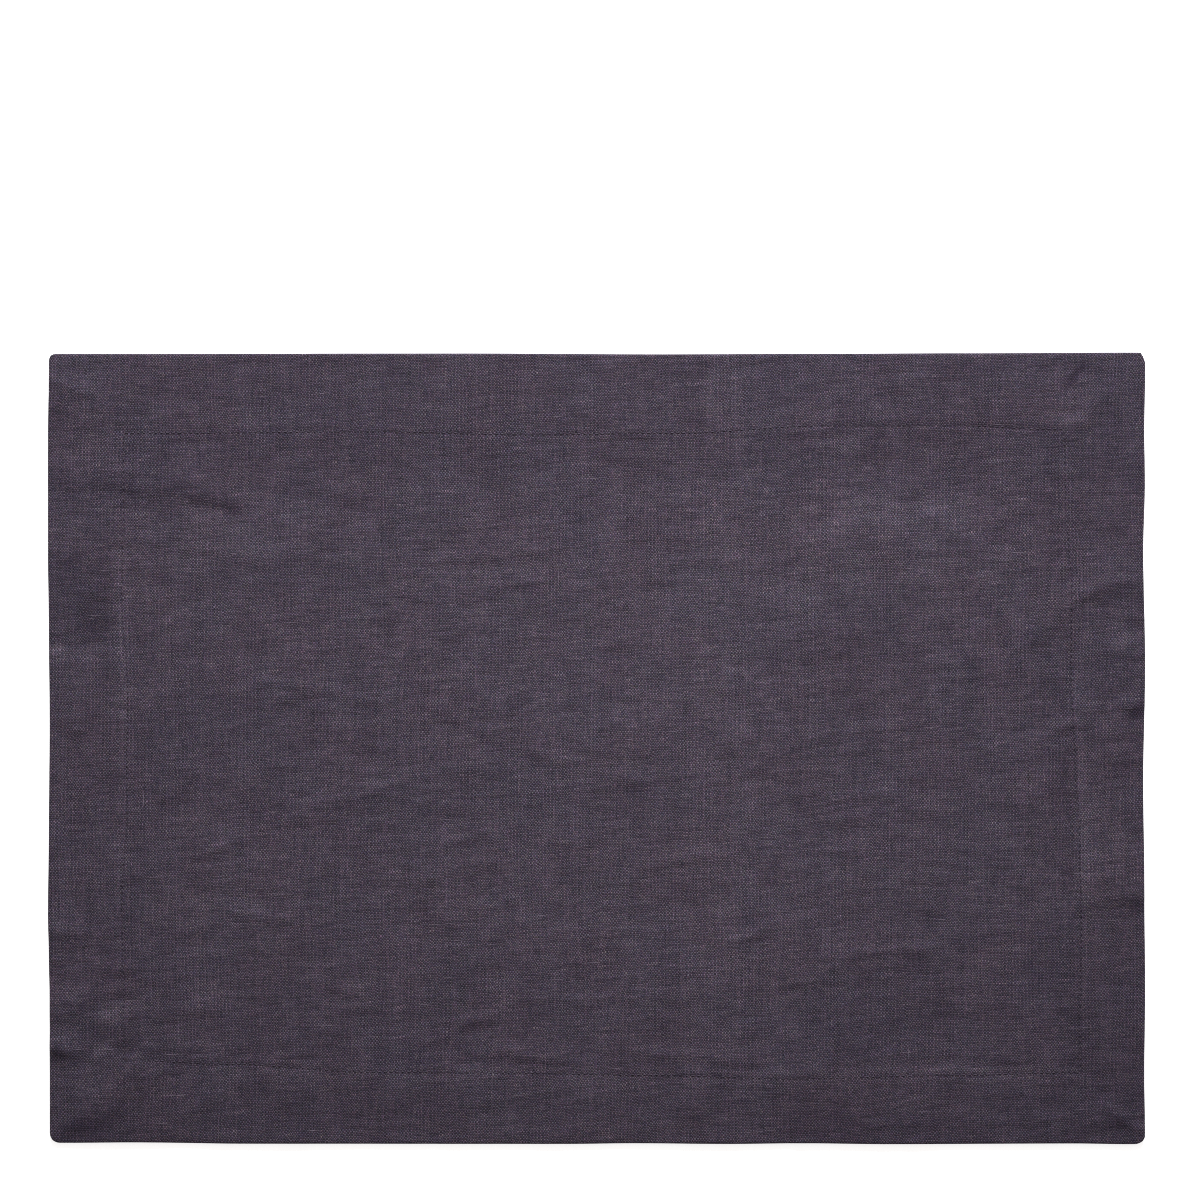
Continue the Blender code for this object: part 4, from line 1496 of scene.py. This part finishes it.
def linen_material(weave):
    """Plain weave of uneven yarns, worked out from the map that counts the yarns.

    In each cell one yarn lies on top, warp and weft by turns. A yarn's height is a
    cosine along it plus a parabola across it, and the higher yarn shows.
    """
    shader = Shader("dark linen weave")
    place = shader.node("UVMap", uv_map=WEAVE_MAP).outputs[0]
    # Yarns wander a little from their straight course
    wander = shader.noise(place, WANDER_RATE, 3.0)["Color"]
    wander = shader.node("SeparateColor", {0: wander}).outputs
    split = shader.node("SeparateXYZ", {0: place}).outputs
    u = shader.math("MULTIPLY_ADD", wander[0], WANDER_YARNS, split[0])
    v = shader.math("MULTIPLY_ADD", wander[1], WANDER_YARNS, split[1])
    warp_number, weft_number = shader.math("FLOOR", u), shader.math("FLOOR", v)
    across_warp = shader.add(shader.math("FRACT", u), -0.5)
    across_weft = shader.add(shader.math("FRACT", v), -0.5)
    # Which yarn is on top: 1 for the warp, -1 for the weft, by turns
    total = shader.add(warp_number, weft_number)
    odd = shader.math("FLOORED_MODULO", total, 2.0)
    turn = shader.math("MULTIPLY_ADD", odd, -2.0, 1.0)

    # Each yarn is thick and thin along its length, and slowly changes its own tone
    def yarn_noise(number, along, rate, row):
        """Noise along one yarn, from a row of the noise picked by its number."""
        row = shader.math("MULTIPLY_ADD", shader.chance(number), NOISE_ROWS, row)
        return shader.noise(shader.pair(shader.times(along, rate), row), 1.0)["Fac"]

    weft_id = shader.add(weft_number, WEFT_ROW)
    warp_thick = yarn_noise(warp_number, v, WARP_LOOK.along, 0.0)
    weft_thick = yarn_noise(weft_id, u, WEFT_LOOK.along, 0.0)
    warp_slow = yarn_noise(warp_number, v, WARP_LOOK.slow, SLOW_ROW)
    weft_slow = yarn_noise(weft_id, u, WEFT_LOOK.slow, SLOW_ROW)

    def yarn_height(across, other_across, side, thick, slow, look):
        """Height of one yarn over the middle of the cloth."""
        quick, steady = YARN_SWELL
        swell = shader.add(shader.times(thick, quick), shader.times(slow, steady))
        width = shader.add(look.width, swell)
        off = shader.math("DIVIDE", shader.times(across, 2.0), width)
        rounded = shader.math("SUBTRACT", 1.0, shader.times(off, off))
        wave = shader.math("COSINE", shader.times(other_across, np.pi))
        wave = shader.times(wave, side, YARN_WAVE)
        return shader.add(wave, shader.times(rounded, YARN_ROUND))

    def yarn_tone(thick, slow, look):
        """How light one yarn is at a place."""
        streak = shader.remap(thick, 0.3, 0.7, 1 - look.streak, 1 + look.streak)
        return shader.add(streak, shader.remap(slow, 0.3, 0.7, -look.single, look.single))

    under = shader.times(turn, -1.0)
    warp = yarn_height(across_warp, across_weft, turn, warp_thick, warp_slow, WARP_LOOK)
    weft = yarn_height(across_weft, across_warp, under, weft_thick, weft_slow, WEFT_LOOK)
    weft_shows = shader.math("GREATER_THAN", weft, warp)
    height = shader.math("MAXIMUM", warp, weft)

    # Colours: yarn by yarn and crossing by crossing, with painted shade in the gaps between
    # the yarns and painted light on their crowns
    hue = shader.noise(place, HUE_RATE, 3.0)["Fac"]
    tint = shader.mix(shader.remap(hue, *NOISE_MIDDLE, 0.0, 1.0), RED_TINT, BLUE_TINT)
    warp_tone = yarn_tone(warp_thick, warp_slow, WARP_LOOK)
    weft_tone = yarn_tone(weft_thick, weft_slow, WEFT_LOOK)
    warp_colour = shader.scaled((*weave.warp_colour,), warp_tone)
    weft_colour = shader.scaled((*weave.weft_colour,), weft_tone)
    slub = shader.remap(weft_thick, *SLUB_STARTS, 0.0, SLUB_MIX)
    weft_colour = shader.mix(slub, weft_colour, (*weave.slub_colour, 1.0))
    colour = shader.mix(weft_shows, warp_colour, weft_colour)
    colour = shader.mix(1.0, colour, tint, "MULTIPLY")
    crossing = shader.node(
        "TexWhiteNoise",
        {"Vector": shader.pair(warp_number, weft_number)},
        noise_dimensions="2D",
    ).outputs
    colour = shader.mix(CROSSING_TINT, colour, crossing["Color"], "OVERLAY")
    single = shader.math(
        "MULTIPLY_ADD", crossing["Value"], 2 * CROSSING_CHANGE, 1 - CROSSING_CHANGE
    )
    # Painted shade in the gaps between the yarns, painted light on their crowns
    depth = shader.remap(height, 0.1, 0.95, 0.17, 1.21)
    fibre = shader.noise(place, FIBRE_RATE)["Fac"]
    cloudy = shader.noise(place, CLOUD_RATE, 4.0)["Fac"]
    # Painted shade in the needle holes between the stitches, and a band of painted shade
    # inside them
    past_line = shader.attribute("past_line")
    uneven = shader.remap(shader.noise(place, HOLE_RATE)["Fac"], *NOISE_MIDDLE, 0.5, 1.0)
    turns = shader.times(shader.attribute("stitch"), 2 * np.pi)
    at_hole = shader.remap(shader.math("COSINE", turns), 0.0, 0.9, 0.12, 1.0)
    painted_hole_shade = shader.times(
        shader.bell(past_line, 0.0, HOLE_WIDTH),
        at_hole,
        uneven,
        shader.attribute("bite"),
        HOLE_SHADE,
    )
    band = shader.times(
        shader.bell(past_line, BAND_MIDDLE, BAND_WIDTH),
        shader.remap(cloudy, *NOISE_MIDDLE, 1.3, 0.5),
        shader.attribute("edge"),
        BAND_SHADE,
    )
    # Reed lines come and go in long stretches of the warp
    rates = zip((u, v), REED_RATES)
    reach = shader.pair(*(shader.times(count, rate) for count, rate in rates))
    reed = shader.times(
        shader.math("COSINE", shader.times(u, 2 * np.pi / REED_YARNS)),
        shader.remap(shader.noise(reach, 1.0)["Fac"], *NOISE_MIDDLE, 0.2, 1.0),
        REED_CHANGE,
    )
    # The tone: painted light and shade of the yarns, of the tone attribute, of the needle
    # holes and of the band, times the yarns' random tone and the reed lines
    tone = shader.times(
        depth,
        single,
        shader.remap(fibre, 0.2, 0.8, 0.84, 1.16),
        shader.remap(cloudy, 0.25, 0.75, 0.90, 1.10),
        shader.attribute("tone"),
        shader.math("SUBTRACT", 1.0, painted_hole_shade),
        shader.math("SUBTRACT", 1.0, band),
        shader.add(reed, 1.0),
    )
    # Painted shade is tinted purple and painted light a little less so: the tint follows
    # the tone
    low = shader.remap(tone, 0.1, 0.8, 0.0, 1.0)
    high = shader.remap(tone, 0.7, 1.5, 0.0, 1.0)
    shade = shader.mix(high, shader.mix(low, PAINTED_SHADE_TINT, MIDDLE_TINT), PAINTED_LIGHT_TINT)
    colour = shader.mix(1.0, colour, shade, "MULTIPLY")

    # Relief: the yarns, over fine crumples that run a little more with the weft
    stretched = shader.node("Mapping", {"Vector": place, "Scale": CRUMPLE_RATES}).outputs[0]
    crumple = shader.noise(stretched, 1.0, 3.0)["Fac"]
    folds = shader.bump(crumple, CRUMPLE_RELIEF, RELIEF_SHARE)
    relief_inputs = {**RELIEF_SHARE, "Normal": folds}
    return shader.finish(
        {
            "Base Color": shader.scaled(colour, tone),
            "Normal": shader.bump(height, YARN_RELIEF, relief_inputs),
            "Roughness": weave.roughness,
            "Specular IOR Level": 0.15,
            "Sheen Weight": 0.06,
            "Sheen Roughness": 0.5,
            "Sheen Tint": (0.80, 0.72, 0.88, 1.0),
        }
    )


def thread_material(name, colour, roughness):
    """Twisted thread: fine slanting plies, with a tone that changes from place to place."""
    shader = Shader(name)
    place = shader.object_place()
    plies = shader.node(
        "TexWave",
        {"Vector": place, "Scale": PLY_RATE, "Distortion": PLY_UNEVEN},
        bands_direction="DIAGONAL",
    ).outputs["Fac"]
    patchy = shader.node("TexNoise", {"Vector": place, "Scale": FLUFF_RATE}).outputs["Fac"]
    tone = shader.times(
        shader.remap(plies, 0.0, 1.0, 0.75, 1.15),
        shader.remap(patchy, 0.3, 0.7, 0.6, 1.4),
    )
    return shader.finish(
        {
            "Base Color": shader.scaled((*colour,), tone),
            "Normal": shader.bump(plies, PLY_RELIEF),
            "Roughness": roughness,
            "Specular IOR Level": 0.3,
        }
    )


def floor_material(stage):
    """Plain white floor with a faint grain, which glows a little."""
    shader = Shader("plain floor")
    inputs = {"Vector": shader.object_place(), "Scale": GRAIN_RATE}
    grain = shader.node("TexNoise", inputs).outputs["Fac"]
    tone = shader.remap(grain, 0.3, 0.7, 0.98, 1.0)
    return shader.finish(
        {
            "Base Color": shader.scaled((*stage.floor_colour,), tone),
            "Roughness": 0.9,
            "Specular IOR Level": 0.0,
            "Emission Color": (1.0, 1.0, 1.0, 1.0),
            "Emission Strength": stage.floor_glow,
        }
    )


# --- Operators ------------------------------------------------------------------------

# The floor, a little under the mat, and the soft lamp, which is aimed at the origin
FLOOR_REACH = 6.0
FLOOR_DROP = 0.0004
LAMP_SIZE = (1.0, 0.6)
LAMP_PLACE = (0.15, 1.60, 0.82)
VIEW_END = 50.0


class PLACEMAT_OT_cloth(Operator):
    """Build the folded and sewn sheet of linen"""

    bl_idname = "placemat.cloth"
    bl_label = "Cloth"

    def execute(self, context):
        scene = context.scene
        mat, weave = scene.placemat_cloth, scene.placemat_weave
        cloth = build_cloth(mat, weave, scene.placemat_stitches)
        cloth.data.materials.append(linen_material(weave))
        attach(cloth, "root")
        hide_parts(CAD_NODE)
        return {"FINISHED"}


class PLACEMAT_OT_stitches(Operator):
    """Sew the hem down with a line of stitches"""

    bl_idname = "placemat.stitches"
    bl_label = "Stitches"

    def execute(self, context):
        sewing = context.scene.placemat_stitches
        stitches = build_stitches(context.scene.placemat_cloth, sewing)
        stitches.data.materials.append(
            thread_material("sewing thread", sewing.colour, 0.7)
        )
        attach(stitches, "root")
        return {"FINISHED"}


class PLACEMAT_OT_slubs(Operator):
    """Lay the raised thick places of the yarns on the face"""

    bl_idname = "placemat.slubs"
    bl_label = "Slub yarns"

    def execute(self, context):
        weave = context.scene.placemat_weave
        slubs = build_slubs(context.scene.placemat_cloth, weave)
        slubs.data.materials.append(
            thread_material("slub yarn", weave.slub_colour, weave.roughness)
        )
        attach(slubs, "root")
        return {"FINISHED"}


class PLACEMAT_OT_stage(Operator):
    """Set up the floor, the light and the camera above the mat"""

    bl_idname = "placemat.stage"
    bl_label = "Stage"

    def execute(self, context):
        stage = context.scene.placemat_stage
        scene = context.scene
        corners = np.array([(-1, -1), (1, -1), (1, 1), (-1, 1)]) * FLOOR_REACH
        corners = np.column_stack([corners, np.full(4, -FLOOR_DROP)])
        floor = new_mesh("floor", corners, [np.arange(4)[None]])
        floor.data.materials.append(floor_material(stage))

        key = bpy.data.lights.new("key light", "AREA")
        key.energy = stage.key_power
        key.color = stage.key_colour
        key.shape = "RECTANGLE"
        key.size, key.size_y = LAMP_SIZE
        lamp = bpy.data.objects.new("key light", key)
        lamp.location = LAMP_PLACE
        lamp.rotation_euler = (-lamp.location).to_track_quat("-Z", "Y").to_euler()
        scene.collection.objects.link(lamp)

        world = bpy.data.worlds.new("room")
        world.use_nodes = True
        sky = world.node_tree.nodes["Background"]
        sky.inputs["Color"].default_value = (*stage.room_colour, 1.0)
        sky.inputs["Strength"].default_value = stage.room_light
        scene.world = world

        lens = bpy.data.cameras.new("camera")
        lens.lens = stage.lens
        lens.clip_end = VIEW_END
        camera = bpy.data.objects.new("camera", lens)
        distance = stage.view_width * lens.lens / lens.sensor_width
        camera.location = (stage.view_x, stage.view_y, distance)
        scene.collection.objects.link(camera)
        scene.camera = camera
        scene.view_settings.view_transform = "Standard"
        scene.cycles.use_denoising = False
        scene.cycles.filter_width = 1.0
        return {"FINISHED"}


class PLACEMAT_PT_panel(Panel):
    """Everything that makes the placemat, in the sidebar"""

    bl_label = "Placemat"
    bl_space_type = "VIEW_3D"
    bl_region_type = "UI"
    bl_category = "Placemat"

    def draw(self, context):
        for group in PIECE_GROUPS:
            column = self.layout.column(align=True)
            column.label(text=group.title)
            settings = getattr(context.scene, group.settings)
            for name in group.kind.__annotations__:
                column.prop(settings, name)
            column.operator(group.operator.bl_idname)


class PieceGroup(NamedTuple):
    """One part of the panel: a title, its settings, their kind and its operator."""

    title: str
    settings: str
    kind: type
    operator: type


PIECE_GROUPS = (
    PieceGroup("Cloth", "placemat_cloth", PlacematCloth, PLACEMAT_OT_cloth),
    PieceGroup("Yarns", "placemat_weave", PlacematWeave, PLACEMAT_OT_slubs),
    PieceGroup("Sewing", "placemat_stitches", PlacematStitches, PLACEMAT_OT_stitches),
    PieceGroup("Stage", "placemat_stage", PlacematStage, PLACEMAT_OT_stage),
)
CLASSES = (
    *(group.kind for group in PIECE_GROUPS),
    *(group.operator for group in PIECE_GROUPS),
    PLACEMAT_PT_panel,
)


def register():
    for item in CLASSES:
        bpy.utils.register_class(item)
    for group in PIECE_GROUPS:
        setattr(bpy.types.Scene, group.settings, PointerProperty(type=group.kind))


def unregister():
    for group in PIECE_GROUPS:
        delattr(bpy.types.Scene, group.settings)
    for item in reversed(CLASSES):
        bpy.utils.unregister_class(item)


def main():
    register()
    bpy.ops.placemat.cloth()
    bpy.ops.placemat.stitches()
    bpy.ops.placemat.slubs()
    bpy.ops.placemat.stage()


if __name__ == "__main__":
    main()
